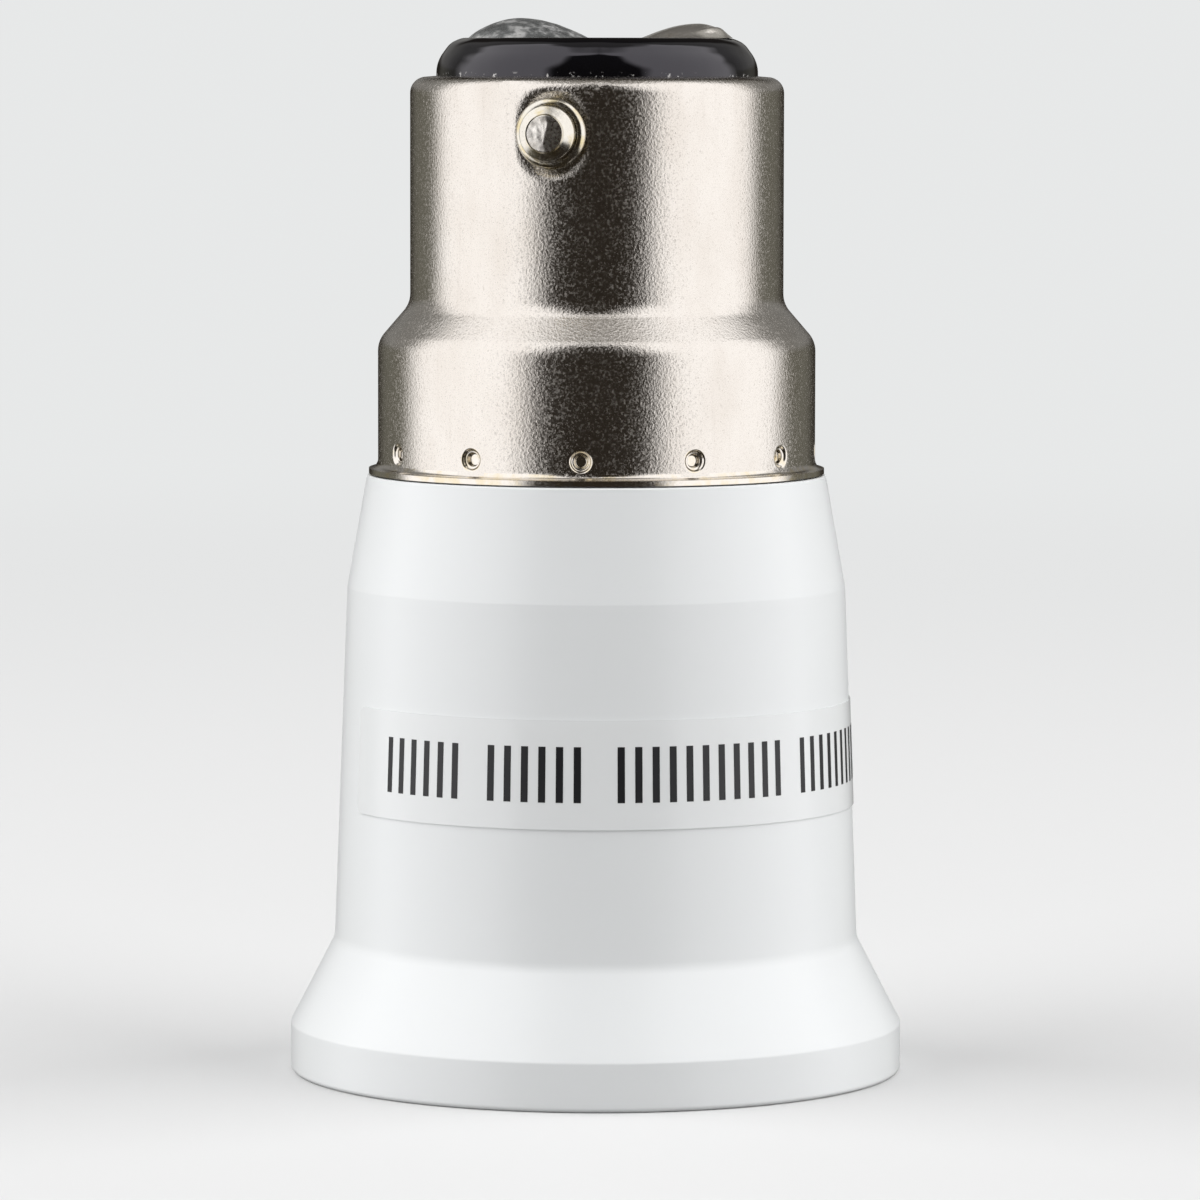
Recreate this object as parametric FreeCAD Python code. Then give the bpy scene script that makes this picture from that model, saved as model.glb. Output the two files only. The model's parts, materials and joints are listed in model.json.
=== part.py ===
import FreeCAD, Part
import math
import os

# Lamp socket adapter: a bayonet cap on top, an Edison screw socket in the skirted body below.
# It stands on its skirt, on z = 0. The bayonet pins lie along Y, the two contacts along X.
# All lengths are in millimetres, all angles in degrees.

Vector = FreeCAD.Vector
UP = Vector(0, 0, 1)

# White moulded body, outside
skirt_radius = 18.09
skirt_band_height = 2.84
flare_height = 5.06
flare_fillet = 1.2
barrel_foot_radius = 15.48
barrel_height = 20.8
barrel_top_radius = 14.71
cone_height = 6.66
shoulder_radius = 13.53
shoulder_round = 0.22
edge_round = 0.3

# White moulded body, inside
skirt_wall = 1.55
skirt_mouth_depth = 2.4
floor_thickness = 2.5
spigot_wall = 1.55
spigot_height = 7.0
crimp_groove_depth = 0.55
crimp_groove_width = 1.9

# Bayonet shell, drawn from sheet
cap_radius = 11.0
cap_length = 13.35
shell_radius = 12.9
shell_length = 7.83
shell_cone_height = 2.21
shell_sheet = 0.3
lip_width = 0.56
lip_bend = 0.65
cap_corner = 0.6
cone_fillet = 1.57
cap_mouth_radius = 9.5
dimple_count = 12
dimple_turn = 9.6
dimple_rise = 1.41
dimple_mouth_radius = 0.66
dimple_floor_radius = 0.32
dimple_depth = 0.45

# Bayonet pins
pin_drop = 3.26
pin_reach = 2.0
pin_tip_radius = 1.08
pin_nose = 0.6
pin_radius = 1.62
pin_length = 0.72
pin_collar_radius = 2.02
pin_shank_radius = 1.3
pin_tail_radius = 1.75
pin_tail_length = 0.6
pin_tail_round = 0.2
pin_nose_round = 0.3
pin_tip_round = 0.1

# Black glass insulator
glass_rise = 2.23
glass_top_radius = 7.95
glass_shoulder_radius = 8.64
glass_shoulder_drop = 0.3
glass_shoulder_round = 1.2
glass_side_height = 0.81
glass_side_round = 2.0
glass_depth = 4.6
glass_clearance = 0.04

# Contacts in the glass
contact_offset = 4.8
contact_radius = 2.05
contact_thickness = 0.4
left_dome_radius = 3.54
left_dome_height = 1.175
left_dome_shift = 0.65
left_peak_shift = 0.1
right_dome_radius = 2.71
right_dome_height = 0.85
right_dome_shift = 0.6
right_peak_shift = 0.95
dome_fullness = 1.6
dome_ring_shares = (0.0, 0.3, 0.55, 0.76, 0.91)

# Screw shell, of thin sheet: the envelope of its rolled thread, necked in above it
thread_major_radius = 13.3
screw_sheet = 0.3
screw_depth = 6.6
screw_base_height = 3.4
screw_base_shrink = 0.6
screw_bend = 0.6
screw_clearance = 0.1
ear_width = 5.2
ear_margin = 0.25
base_ring_width = 1.7

# Sprung centre contact, bent from strip
strip_width = 5.0
strip_thickness = 0.4
tongue_drop = 3.6
tongue_run = 4.3
tongue_tip_rise = 1.3
tongue_tip_run = 1.9
foot_length = 4.3
tongue_low_point = -1.4
strip_bend = 1.2
strip_corner_round = 1.5

# Rivets and solder tags on the floor
rivet_radius = 0.95
rivet_head_radius = 1.65
rivet_head_height = 0.6
rivet_head_round = 0.36
rivet_clearance = 0.05
shell_rivet_margin = 0.3
centre_rivet_inset = 2.0
tag_thickness = 0.4
tag_width = 3.2
tag_length = 4.8

# Wires
wire_core_radius = 0.4
wire_sleeve_radius = 0.9
wire_clearance = 0.15
wire_straight = 5.0
wire_end_rise = 0.34
solder_joint_radius = 1.25
solder_joint_waist = 0.6
solder_joint_height = 1.1

# Film label on the barrel
label_foot = 15.87
label_height = 6.24
label_thickness = 0.12
label_gap = 0.02
label_start_angle = -142.4
label_wrap_angle = 166.0

# Clearances between nested pieces
spigot_clearance = 0.1
pin_clearance = 0.03

# Levels, from the skirt's rim upwards
flare_top = skirt_band_height + flare_height
barrel_top = flare_top + barrel_height
shoulder = barrel_top + cone_height
spigot_top = shoulder + spigot_height
shell_top = shoulder + shell_length
cap_foot = shell_top + shell_cone_height
cap_top = cap_foot + cap_length
glass_top = cap_top + glass_rise
pin_level = cap_top - pin_drop
dimple_level = shoulder + dimple_rise
floor_under = barrel_top - edge_round
floor_over = floor_under + floor_thickness

# Radii that follow from the fits
spigot_radius = shell_radius - shell_sheet - spigot_clearance
cavity_radius = spigot_radius - spigot_wall
shell_rivet_offset = cavity_radius - rivet_head_radius - shell_rivet_margin
screw_outer_radius = thread_major_radius + screw_sheet
screw_base_radius = screw_outer_radius - screw_base_shrink
screw_bore_radius = screw_outer_radius + screw_clearance
cap_inner_radius = cap_radius - shell_sheet
glass_radius = cap_inner_radius - glass_clearance


def corner_arc(before, corner, after, radius):
    """The two tangent points and the middle of the arc that rounds a corner."""
    to_before = (before - corner).normalize()
    to_after = (after - corner).normalize()
    half_angle = to_before.getAngle(to_after) / 2
    setback = radius / math.tan(half_angle)
    bisector = (to_before + to_after).normalize()
    middle = corner + bisector * (radius / math.sin(half_angle) - radius)
    return corner + to_before * setback, middle, corner + to_after * setback


def rounded_edges(points, closed):
    """Straight edges through (a, b, corner radius) points in the XZ plane, with arcs at the corners."""
    corners = [Vector(a, 0, b) for a, b, _ in points]
    count = len(corners)
    joints = []
    for index, corner in enumerate(corners):
        radius = points[index][2]
        inside = closed or 0 < index < count - 1
        if radius and inside:
            before = corners[index - 1]
            after = corners[(index + 1) % count]
            joints.append(corner_arc(before, corner, after, radius))
        else:
            joints.append((corner, None, corner))
    edges = []
    for index, (start, middle, end) in enumerate(joints):
        if middle is not None:
            edges.append(Part.Arc(start, middle, end).toShape())
        if closed or index < count - 1:
            following = joints[(index + 1) % count][0]
            if following.distanceToPoint(end) > 1e-6:
                edges.append(Part.LineSegment(end, following).toShape())
    return edges


def turned(points, turn=360.0, start=0.0):
    """A solid turned about Z from a closed outline of (radius, height, corner radius) points."""
    outline = Part.Face(Part.Wire(rounded_edges(points, closed=True)))
    solid = outline.revolve(Vector(0, 0, 0), UP, turn)
    solid.rotate(Vector(0, 0, 0), UP, start)
    return solid


def offset_path(points, distance):
    """The same bent path, moved to its left by a distance, with its corner radii kept parallel."""
    directions = []
    for (a, b, _), (c, d, _) in zip(points, points[1:]):
        length = math.hypot(c - a, d - b)
        directions.append(((c - a) / length, (d - b) / length))
    moved = []
    for index, (a, b, radius) in enumerate(points):
        before = directions[max(index - 1, 0)]
        after = directions[min(index, len(directions) - 1)]
        normal_before = (-before[1], before[0])
        normal_after = (-after[1], after[0])
        share = 1 + normal_before[0] * normal_after[0] + normal_before[1] * normal_after[1]
        shift_a = (normal_before[0] + normal_after[0]) * distance / share
        shift_b = (normal_before[1] + normal_after[1]) * distance / share
        left_turn = before[0] * after[1] - before[1] * after[0]
        change = -distance if left_turn > 0 else distance
        moved.append((a + shift_a, b + shift_b, radius + change if radius else 0))
    return moved


def sheet_outline(points, thickness):
    """A closed outline of even thickness, on the left of a bent path."""
    return points + offset_path(points, thickness)[::-1]


def disc(radius, height, foot, x=0.0, y=0.0):
    """An upright cylinder."""
    return Part.makeCylinder(radius, height, Vector(x, y, foot), UP)


def barrel_radius(level):
    """The barrel's outer radius at a height."""
    share = (level - flare_top) / barrel_height
    return barrel_foot_radius + (barrel_top_radius - barrel_foot_radius) * share


def housing():
    """The moulded body: skirt, barrel, cone, floor, and the spigot inside the bayonet shell."""
    mouth_radius = skirt_radius - skirt_wall
    groove_foot = dimple_level - crimp_groove_width / 2
    groove_top = dimple_level + crimp_groove_width / 2
    groove_radius = spigot_radius - crimp_groove_depth
    outline = [
        (mouth_radius, 0, edge_round),
        (skirt_radius, 0, edge_round),
        (skirt_radius, skirt_band_height, edge_round / 2),
        (barrel_foot_radius, flare_top, flare_fillet),
        (barrel_top_radius, barrel_top, edge_round),
        (shoulder_radius, shoulder, shoulder_round),
        (spigot_radius, shoulder, 0),
        (spigot_radius, groove_foot, 0),
        (groove_radius, groove_foot, 0),
        (groove_radius, groove_top, 0),
        (spigot_radius, groove_top, 0),
        (spigot_radius, spigot_top, 0),
        (cavity_radius, spigot_top, 0),
        (cavity_radius, floor_over, 0),
        (0, floor_over, 0),
        (0, floor_under, 0),
        (screw_bore_radius, floor_under, 0),
        (screw_bore_radius, screw_depth, edge_round),
        (mouth_radius, skirt_mouth_depth, edge_round),
    ]
    body = turned(outline)
    holes = []
    for x, y in rivet_places():
        holes.append(disc(rivet_radius + rivet_clearance, floor_thickness, floor_under, x, y))
    return body.cut(holes)


def rivet_places():
    """Where the three rivets go through the floor: the centre contact's, then the screw shell's."""
    return [(centre_rivet_x(), 0), (0, -shell_rivet_offset), (0, shell_rivet_offset)]


def dimple_places():
    """Centres of the punched dimples, on the shell's outer face."""
    places = []
    for index in range(dimple_count):
        angle = math.radians(-90 + dimple_turn + 360 * index / dimple_count)
        places.append((math.cos(angle), math.sin(angle)))
    return places


def bayonet_shell():
    """The drawn shell: turned-out lip, lower cylinder, cone, cap, and the rim turned in over the glass."""
    lip_radius = shell_radius + lip_width
    path = [
        (lip_radius, shoulder + shell_sheet, 0),
        (shell_radius, shoulder + shell_sheet, lip_bend - shell_sheet),
        (shell_radius, shell_top, cone_fillet),
        (cap_radius, cap_foot, cone_fillet),
        (cap_radius, cap_top, cap_corner),
        (cap_mouth_radius, cap_top, 0),
    ]
    shell = turned(sheet_outline(path, shell_sheet))
    bumps = []
    pits = []
    margin = shell_sheet / 2
    slope = (dimple_mouth_radius - dimple_floor_radius) / dimple_depth
    for x, y in dimple_places():
        inward = Vector(-x, -y, 0)
        face = Vector(x * shell_radius, y * shell_radius, dimple_level)
        bumps.append(Part.makeCone(dimple_mouth_radius + margin, dimple_floor_radius + margin,
                                   dimple_depth + margin, face + inward * margin, inward))
        pits.append(Part.makeCone(dimple_mouth_radius + slope * margin, dimple_floor_radius,
                                  dimple_depth + margin, face - inward * margin, inward))
    holes = []
    for side in (-1, 1):
        start = Vector(0, side * (cap_inner_radius - shell_sheet), pin_level)
        reach = 3 * shell_sheet
        hole = Part.makeCylinder(pin_shank_radius + pin_clearance, reach, start, Vector(0, side, 0))
        holes.append(hole)
    return shell.fuse(bumps).cut(pits + holes)


def pin_outline():
    """Half of the pin's outline, as (radius, distance along the pin, corner radius) from its tail out."""
    middle = cap_radius - shell_sheet / 2
    tail = cap_inner_radius - pin_tail_length
    tip = cap_radius + pin_reach
    nose_foot = tip - pin_nose
    collar_top = nose_foot - pin_length
    return [
        (0, tail, 0),
        (pin_tail_radius, tail, pin_tail_round),
        (pin_tail_radius, middle, 0),
        (pin_collar_radius, middle, 0),
        (pin_collar_radius, collar_top, 0),
        (pin_radius, collar_top, 0),
        (pin_radius, nose_foot, pin_nose_round),
        (pin_tip_radius, tip, pin_tip_round),
        (0, tip, 0),
    ]


def bayonet_pin(side):
    """One pin, turned about its own axis, laid along Y, and clenched on both faces of the shell's wall."""
    pin = turned(pin_outline())
    pin.rotate(Vector(0, 0, 0), Vector(1, 0, 0), -90 * side)
    pin.translate(Vector(0, 0, pin_level))
    height = 4 * pin_collar_radius
    foot = pin_level - height / 2
    wall = disc(cap_radius + pin_clearance, height, foot)
    wall = wall.cut(disc(cap_inner_radius - pin_clearance, height, foot))
    shank = Part.makeCylinder(pin_shank_radius, cap_radius + pin_reach, Vector(0, 0, pin_level),
                              Vector(0, side, 0))
    return pin.cut(wall.cut(shank))


def glass_insulator():
    """Black glass poured into the cap's end: it keys behind the rim and bulges out above it."""
    under_rim = cap_top - shell_sheet - glass_clearance
    neck_radius = cap_mouth_radius - glass_clearance
    outline = [
        (0, cap_top - glass_depth, 0),
        (glass_radius, cap_top - glass_depth, 0),
        (glass_radius, under_rim, cap_corner - shell_sheet),
        (neck_radius, under_rim, 0),
        (neck_radius, cap_top + glass_side_height, glass_side_round),
        (glass_shoulder_radius, glass_top - glass_shoulder_drop, glass_shoulder_round),
        (glass_top_radius, glass_top, glass_shoulder_round),
        (0, glass_top, 0),
    ]
    glass = turned(outline)
    cuts = []
    pocket_radius = pin_tail_radius + wire_clearance
    pocket_depth = pin_tail_length + wire_clearance
    for side in (-1, 1):
        start = Vector(0, side * (cap_inner_radius - pocket_depth), pin_level)
        cuts.append(Part.makeCylinder(pocket_radius, pocket_depth, start, Vector(0, side, 0)))
        x = side * contact_offset
        recess_foot = glass_top - contact_thickness
        cuts.append(disc(contact_radius + glass_clearance, contact_thickness, recess_foot, x))
        hole_radius = wire_core_radius + wire_clearance
        cuts.append(disc(hole_radius, glass_depth + glass_rise, cap_top - glass_depth, x))
    return glass.cut(cuts)


def contact_plate(side):
    """A round plate let into the glass, with a hole for the wire."""
    x = side * contact_offset
    foot = glass_top - contact_thickness
    plate = disc(contact_radius, contact_thickness, foot, x)
    return plate.cut(disc(wire_core_radius, contact_thickness, foot, x))


def solder_dome(centre_x, radius, height, lean, wire):
    """A dome of solder on the glass: its rings shrink towards the top and lean outwards."""
    rings = []
    for share in dome_ring_shares:
        ring_radius = radius * math.sqrt(1 - share ** dome_fullness)
        centre = Vector(centre_x + lean * share ** 2, 0, glass_top + height * share)
        rings.append(Part.Wire(Part.makeCircle(ring_radius, centre, UP)))
    top = Vector(centre_x + lean, 0, glass_top + height)
    rings.append(Part.Vertex(top))
    return Part.makeLoft(rings, True).cut(wire)


def centre_rivet_x():
    """Where the centre contact's rivet goes: inset from the foot's end."""
    return tongue_low_point + tongue_run + foot_length - centre_rivet_inset


def screw_shell():
    """The lamp's screw shell: thin tube, neck, and a base ring with two ears for the rivets."""
    neck_foot = floor_under - screw_base_height - screw_base_shrink
    shell = turned(sheet_outline([
        (screw_outer_radius, screw_depth, 0),
        (screw_outer_radius, neck_foot, screw_bend),
        (screw_base_radius, neck_foot + screw_base_shrink, screw_bend),
        (screw_base_radius, floor_under, 2 * screw_sheet),
        (screw_base_radius - base_ring_width, floor_under, 0),
    ], screw_sheet))
    ears = []
    holes = []
    foot = floor_under - screw_sheet
    root = screw_base_radius - base_ring_width / 2
    end = shell_rivet_offset - rivet_head_radius - ear_margin
    for side in (-1, 1):
        corner = Vector(-ear_width / 2, min(side * root, side * end), foot)
        ears.append(Part.makeBox(ear_width, root - end, screw_sheet, corner))
        holes.append(disc(rivet_radius + rivet_clearance, screw_sheet, foot, 0, side * shell_rivet_offset))
    return shell.fuse(ears).cut(holes)


def strip_path():
    """The centre contact's upper face, seen from the side: foot, bend, tongue and turned-up tip."""
    level = floor_under
    return [
        (tongue_low_point + tongue_run + foot_length, level, 0),
        (tongue_low_point + tongue_run, level, strip_bend + strip_thickness),
        (tongue_low_point, level - tongue_drop, strip_bend),
        (tongue_low_point - tongue_tip_run, level - tongue_drop + tongue_tip_rise, 0),
    ]


def centre_contact():
    """The sprung strip, riveted at its foot, with its tongue hanging down towards the lamp."""
    outline = Part.Face(Part.Wire(rounded_edges(sheet_outline(strip_path(), strip_thickness), True)))
    strip = outline.extrude(Vector(0, strip_width, 0))
    strip.translate(Vector(0, -strip_width / 2, 0))
    corners = [e for e in strip.Edges if upright_end(e)]
    strip = strip.makeFillet(strip_corner_round, corners)
    hole_foot = floor_under - strip_thickness
    return strip.cut(disc(rivet_radius + rivet_clearance, strip_thickness, hole_foot, centre_rivet_x()))


def upright_end(edge):
    """Is this one of the short edges across the strip's thickness, at either end?"""
    box = edge.BoundBox
    short = abs(edge.Length - strip_thickness) < 1e-3
    at_foot = abs(box.XMax - strip_path()[0][0]) < 1e-3
    at_tip = box.XMax < tongue_low_point - tongue_tip_run / 2
    return short and box.YLength < 1e-3 and (at_foot or at_tip)


def rivet(x, y, foot, top):
    """A rivet with a domed head at each end, through the pieces between two levels."""
    body = turned([
        (0, foot - rivet_head_height, 0),
        (rivet_head_radius, foot - rivet_head_height, rivet_head_round),
        (rivet_head_radius, foot, 0),
        (rivet_radius, foot, 0),
        (rivet_radius, top, 0),
        (rivet_head_radius, top, 0),
        (rivet_head_radius, top + rivet_head_height, rivet_head_round),
        (0, top + rivet_head_height, 0),
    ])
    body.translate(Vector(x, y, 0))
    return body


def tag_tail(x, y, direction):
    """Where a tag's wire is soldered, near the end of its tail."""
    return Vector(x, y, 0) + direction * (tag_length - tag_width / 2)


def solder_tag(x, y, direction, wire):
    """A flat tag round a rivet, with a tail that the wire is soldered to."""
    across = Vector(-direction.y, direction.x, 0) * (tag_width / 2)
    start = Vector(x, y, floor_over)
    end = start + direction * (tag_length - tag_width / 2)
    outline = Part.Face(Part.makePolygon([start - across, end - across, end + across, start + across,
                                          start - across]))
    tag = outline.extrude(UP * tag_thickness)
    tag = tag.fuse([
        disc(tag_width / 2, tag_thickness, floor_over, x, y),
        disc(tag_width / 2, tag_thickness, floor_over, end.x, end.y),
    ]).removeSplitter()
    return tag.cut([disc(rivet_radius + rivet_clearance, tag_thickness, floor_over, x, y), wire])


def wire_route(tail, contact_x):
    """From a tag's tail straight up, over to a contact in one easy double bend, and up into its solder."""
    lower = Vector(tail.x, tail.y, floor_over)
    upper = Vector(contact_x, 0, glass_top + wire_end_rise)
    bend_foot = Vector(tail.x, tail.y, floor_over + wire_straight)
    bend_top = Vector(contact_x, 0, cap_top - glass_depth - wire_straight)
    return [lower, bend_foot, bend_top, upper]


def wire_length(points, radius):
    """A round bar along a route of straight runs, with tangent arcs at the two bends."""
    edges = []
    last = points[0]
    for before, corner, after in zip(points, points[1:], points[2:]):
        run = min(corner.distanceToPoint(before), corner.distanceToPoint(after))
        turn = (corner - before).getAngle(after - corner)
        start, middle, end = corner_arc(before, corner, after, 0.45 * run / math.tan(turn / 2))
        edges.append(Part.LineSegment(last, start).toShape())
        edges.append(Part.Arc(start, middle, end).toShape())
        last = end
    edges.append(Part.LineSegment(last, points[-1]).toShape())
    section = Part.Wire(Part.makeCircle(radius, points[0], points[1] - points[0]))
    return Part.Wire(edges).makePipeShell([section], True, False)


def wire_sleeve(route, core):
    """The insulation round a wire, cut back at both ends."""
    foot = route[0] + UP * (tag_thickness + solder_joint_height + wire_clearance)
    top = Vector(route[-1].x, route[-1].y, cap_top - glass_depth - wire_clearance)
    sleeve = wire_length([foot, route[1], route[2], top], wire_sleeve_radius)
    return sleeve.cut(core)


def solder_joint(tail, wire):
    """A cone of solder that joins a wire to its tag."""
    foot = floor_over + tag_thickness
    cone = Part.makeCone(solder_joint_radius, solder_joint_waist, solder_joint_height,
                         Vector(tail.x, tail.y, foot), UP)
    return cone.cut(wire)


def label_film():
    """The clear film, wrapped part of the way round the tapered barrel."""
    foot = label_foot
    top = label_foot + label_height
    inner_foot = barrel_radius(foot) + label_gap
    inner_top = barrel_radius(top) + label_gap
    outline = [
        (inner_foot, foot, 0),
        (inner_foot + label_thickness, foot, 0),
        (inner_top + label_thickness, top, 0),
        (inner_top, top, 0),
    ]
    return turned(outline, label_wrap_angle, label_start_angle)


def build():
    """Every piece of the adapter, by name."""
    centre_x = centre_rivet_x()
    live_way = Vector(0, 1, 0)
    neutral_way = Vector(-0.8, -0.6, 0)
    live_tail = tag_tail(centre_x, 0, live_way)
    neutral_tail = tag_tail(0, shell_rivet_offset, neutral_way)
    live_route = wire_route(live_tail, contact_offset)
    neutral_route = wire_route(neutral_tail, -contact_offset)
    live_core = wire_length(live_route, wire_core_radius)
    neutral_core = wire_length(neutral_route, wire_core_radius)
    left_centre = left_dome_shift - contact_offset
    right_centre = contact_offset + right_dome_shift
    tag_top = floor_over + tag_thickness
    ear_under = floor_under - screw_sheet
    strip_under = floor_under - strip_thickness
    return {
        "housing": housing(),
        "bayonet_shell": bayonet_shell(),
        "bayonet_pin_front": bayonet_pin(-1),
        "bayonet_pin_rear": bayonet_pin(1),
        "glass_insulator": glass_insulator(),
        "contact_plate_left": contact_plate(-1),
        "contact_plate_right": contact_plate(1),
        "solder_dome_left": solder_dome(left_centre, left_dome_radius, left_dome_height,
                                        -left_peak_shift, neutral_core),
        "solder_dome_right": solder_dome(right_centre, right_dome_radius, right_dome_height,
                                         right_peak_shift, live_core),
        "screw_shell": screw_shell(),
        "centre_contact": centre_contact(),
        "centre_rivet": rivet(centre_x, 0, strip_under, tag_top),
        "shell_rivet_front": rivet(0, -shell_rivet_offset, ear_under, floor_over),
        "shell_rivet_rear": rivet(0, shell_rivet_offset, ear_under, tag_top),
        "solder_tag_live": solder_tag(centre_x, 0, live_way, live_core),
        "solder_tag_neutral": solder_tag(0, shell_rivet_offset, neutral_way, neutral_core),
        "wire_live_core": live_core,
        "wire_live_sleeve": wire_sleeve(live_route, live_core),
        "wire_neutral_core": neutral_core,
        "wire_neutral_sleeve": wire_sleeve(neutral_route, neutral_core),
        "solder_joint_live": solder_joint(live_tail, live_core),
        "solder_joint_neutral": solder_joint(neutral_tail, neutral_core),
        "label_film": label_film(),
    }


os.makedirs("parts", exist_ok=True)
for name, piece in build().items():
    print(f"{name}: {len(piece.Solids)} solid, valid {piece.isValid()}, {piece.Volume:.2f} mm3")
    piece.exportStep(f"parts/{name}.step")
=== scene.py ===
"""The lamp socket adapter, dressed for its picture, round the frame that holds its solids."""

import json
import logging
import math
from collections.abc import Sequence
from dataclasses import dataclass
from enum import Enum
from functools import reduce

import bmesh
import bpy
import numpy as np
from mathutils import Matrix, Vector, noise


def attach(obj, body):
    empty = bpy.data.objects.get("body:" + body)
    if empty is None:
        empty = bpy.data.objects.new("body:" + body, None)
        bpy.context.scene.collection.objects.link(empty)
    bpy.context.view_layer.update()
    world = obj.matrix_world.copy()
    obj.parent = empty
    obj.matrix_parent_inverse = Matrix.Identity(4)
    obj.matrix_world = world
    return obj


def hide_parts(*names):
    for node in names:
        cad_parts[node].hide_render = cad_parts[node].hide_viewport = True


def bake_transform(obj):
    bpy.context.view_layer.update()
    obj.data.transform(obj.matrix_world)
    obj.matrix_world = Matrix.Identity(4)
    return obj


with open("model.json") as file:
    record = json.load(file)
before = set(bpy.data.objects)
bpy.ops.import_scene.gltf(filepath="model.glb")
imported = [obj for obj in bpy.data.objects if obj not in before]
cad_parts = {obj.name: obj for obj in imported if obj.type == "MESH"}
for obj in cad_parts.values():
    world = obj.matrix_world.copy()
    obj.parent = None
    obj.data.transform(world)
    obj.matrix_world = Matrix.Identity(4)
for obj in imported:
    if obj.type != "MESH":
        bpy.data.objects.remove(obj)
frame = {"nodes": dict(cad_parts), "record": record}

# Meshes are worked out in millimetres and made in metres.
MM = 0.001
TURN = 2 * math.pi
# Points closer than this, in millimetres, are one point.
SAME_POINT = 1e-4
# Edges that turn by more than this many degrees shade sharp, unless a piece says otherwise.
SHARP = 38.0
BODY = "adapter"

Point = tuple[float, float]
Corner = tuple[float, float, float]
Triple = tuple[float, float, float]
Colour = tuple[float, float, float]
Span = tuple[float, float, float, float]
Face = tuple[int, ...]
Value = bpy.types.NodeSocket | float | tuple[float, ...]

log = logging.getLogger("adapter")


# Outlines and meshes


def rounded(corners: Sequence[Corner], closed: bool, step: float = 9.0, guard: float = 0.05) -> list[Point]:
    """Straight lines through corners, with an arc at each corner that has a rounding.

    Args:
        corners: (across, up, rounding) of each corner.
        closed: Whether the last corner joins the first.
        step: The largest turn between two points of an arc, in degrees.
        guard: How far from an arc's ends the flat beside it gets one more point, so that it shades flat.

    Returns:
        The points of the path, in order.
    """
    count = len(corners)
    points: list[Point] = []
    for index, (across, up, rounding) in enumerate(corners):
        here = np.array((across, up))
        if not rounding or not (closed or 0 < index < count - 1):
            points.append((across, up))
            continue
        back = np.array(corners[index - 1][:2]) - here
        ahead = np.array(corners[(index + 1) % count][:2]) - here
        back_length, ahead_length = np.linalg.norm(back), np.linalg.norm(ahead)
        back, ahead = back / back_length, ahead / ahead_length
        half = math.acos(float(np.clip(back @ ahead, -1, 1))) / 2
        setback = rounding / math.tan(half)
        bisector = (back + ahead) / np.linalg.norm(back + ahead)
        middle = here + bisector * rounding / math.sin(half)
        first, last = here + back * setback - middle, here + ahead * setback - middle
        sweep = math.pi - 2 * half
        steps = max(3, math.ceil(math.degrees(sweep) / step))
        arc = []
        for k in range(steps + 1):
            share = k / steps
            spoke = math.sin((1 - share) * sweep) * first + math.sin(share * sweep) * last
            arc.append(middle + spoke / math.sin(sweep))
        if guard and back_length > setback + 6 * guard:
            arc.insert(0, arc[0] + back * guard)
        if guard and ahead_length > setback + 6 * guard:
            arc.append(arc[-1] + ahead * guard)
        points.extend((float(p[0]), float(p[1])) for p in arc)
    return points


def smooth_step(share: float) -> float:
    """0 to 1 with level ends."""
    share = min(max(share, 0.0), 1.0)
    return share * share * (3 - 2 * share)


def made_mesh(
    name: str,
    vertices: Sequence[Sequence[float]],
    faces: Sequence[Sequence[int]],
    sharp: float = SHARP,
    outward: bool = True,
    second: Sequence[int] = (),
) -> bpy.types.Object:
    """A smooth-shaded object from vertices in millimetres.

    Args:
        name: The piece's name.
        vertices: Its points, in millimetres.
        faces: Its faces, as rows of vertex numbers.
        sharp: Edges that turn by more than this many degrees shade sharp.
        outward: Whether the faces are turned to look outwards.
        second: Faces that take the second finish.

    Returns:
        The object, linked to the scene.
    """
    mesh = bpy.data.meshes.new(name)
    mesh.from_pydata([tuple(c * MM for c in v) for v in vertices], [], [tuple(f) for f in faces])
    for index in second:
        mesh.polygons[index].material_index = 1
    obj = bpy.data.objects.new(name, mesh)
    bpy.context.scene.collection.objects.link(obj)
    tidy_mesh(obj, sharp, outward)
    return obj


def tidy_mesh(obj: bpy.types.Object, sharp: float, outward: bool) -> None:
    """Joins points that coincide, turns faces outwards and marks sharp edges.

    Args:
        obj: The mesh object.
        sharp: Edges that turn by more than this many degrees shade sharp.
        outward: Whether the faces are turned to look outwards.
    """
    work = bmesh.new()
    work.from_mesh(obj.data)
    bmesh.ops.remove_doubles(work, verts=work.verts, dist=SAME_POINT * MM)
    if outward:
        bmesh.ops.recalc_face_normals(work, faces=work.faces)
    limit = math.radians(sharp)
    for face in work.faces:
        face.smooth = True
    for edge in work.edges:
        edge.smooth = len(edge.link_faces) == 2 and edge.calc_face_angle(math.pi) < limit
    work.to_mesh(obj.data)
    work.free()


def bands(lines: int, size: int, ring: bool = False, loop: bool = False, base: int = 0) -> list[Face]:
    """Faces between neighbouring lines of points.

    Args:
        lines: How many lines there are.
        size: How many points each has.
        ring: Whether the last line joins the first.
        loop: Whether each line's last point joins its first.
        base: The number of the first line's first point.

    Returns:
        The faces.
    """
    faces = []
    for i in range(lines if ring else lines - 1):
        here, there = base + i * size, base + (i + 1) % lines * size
        for j in range(size if loop else size - 1):
            k = (j + 1) % size
            faces.append((here + j, here + k, there + k, there + j))
    return faces


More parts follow.
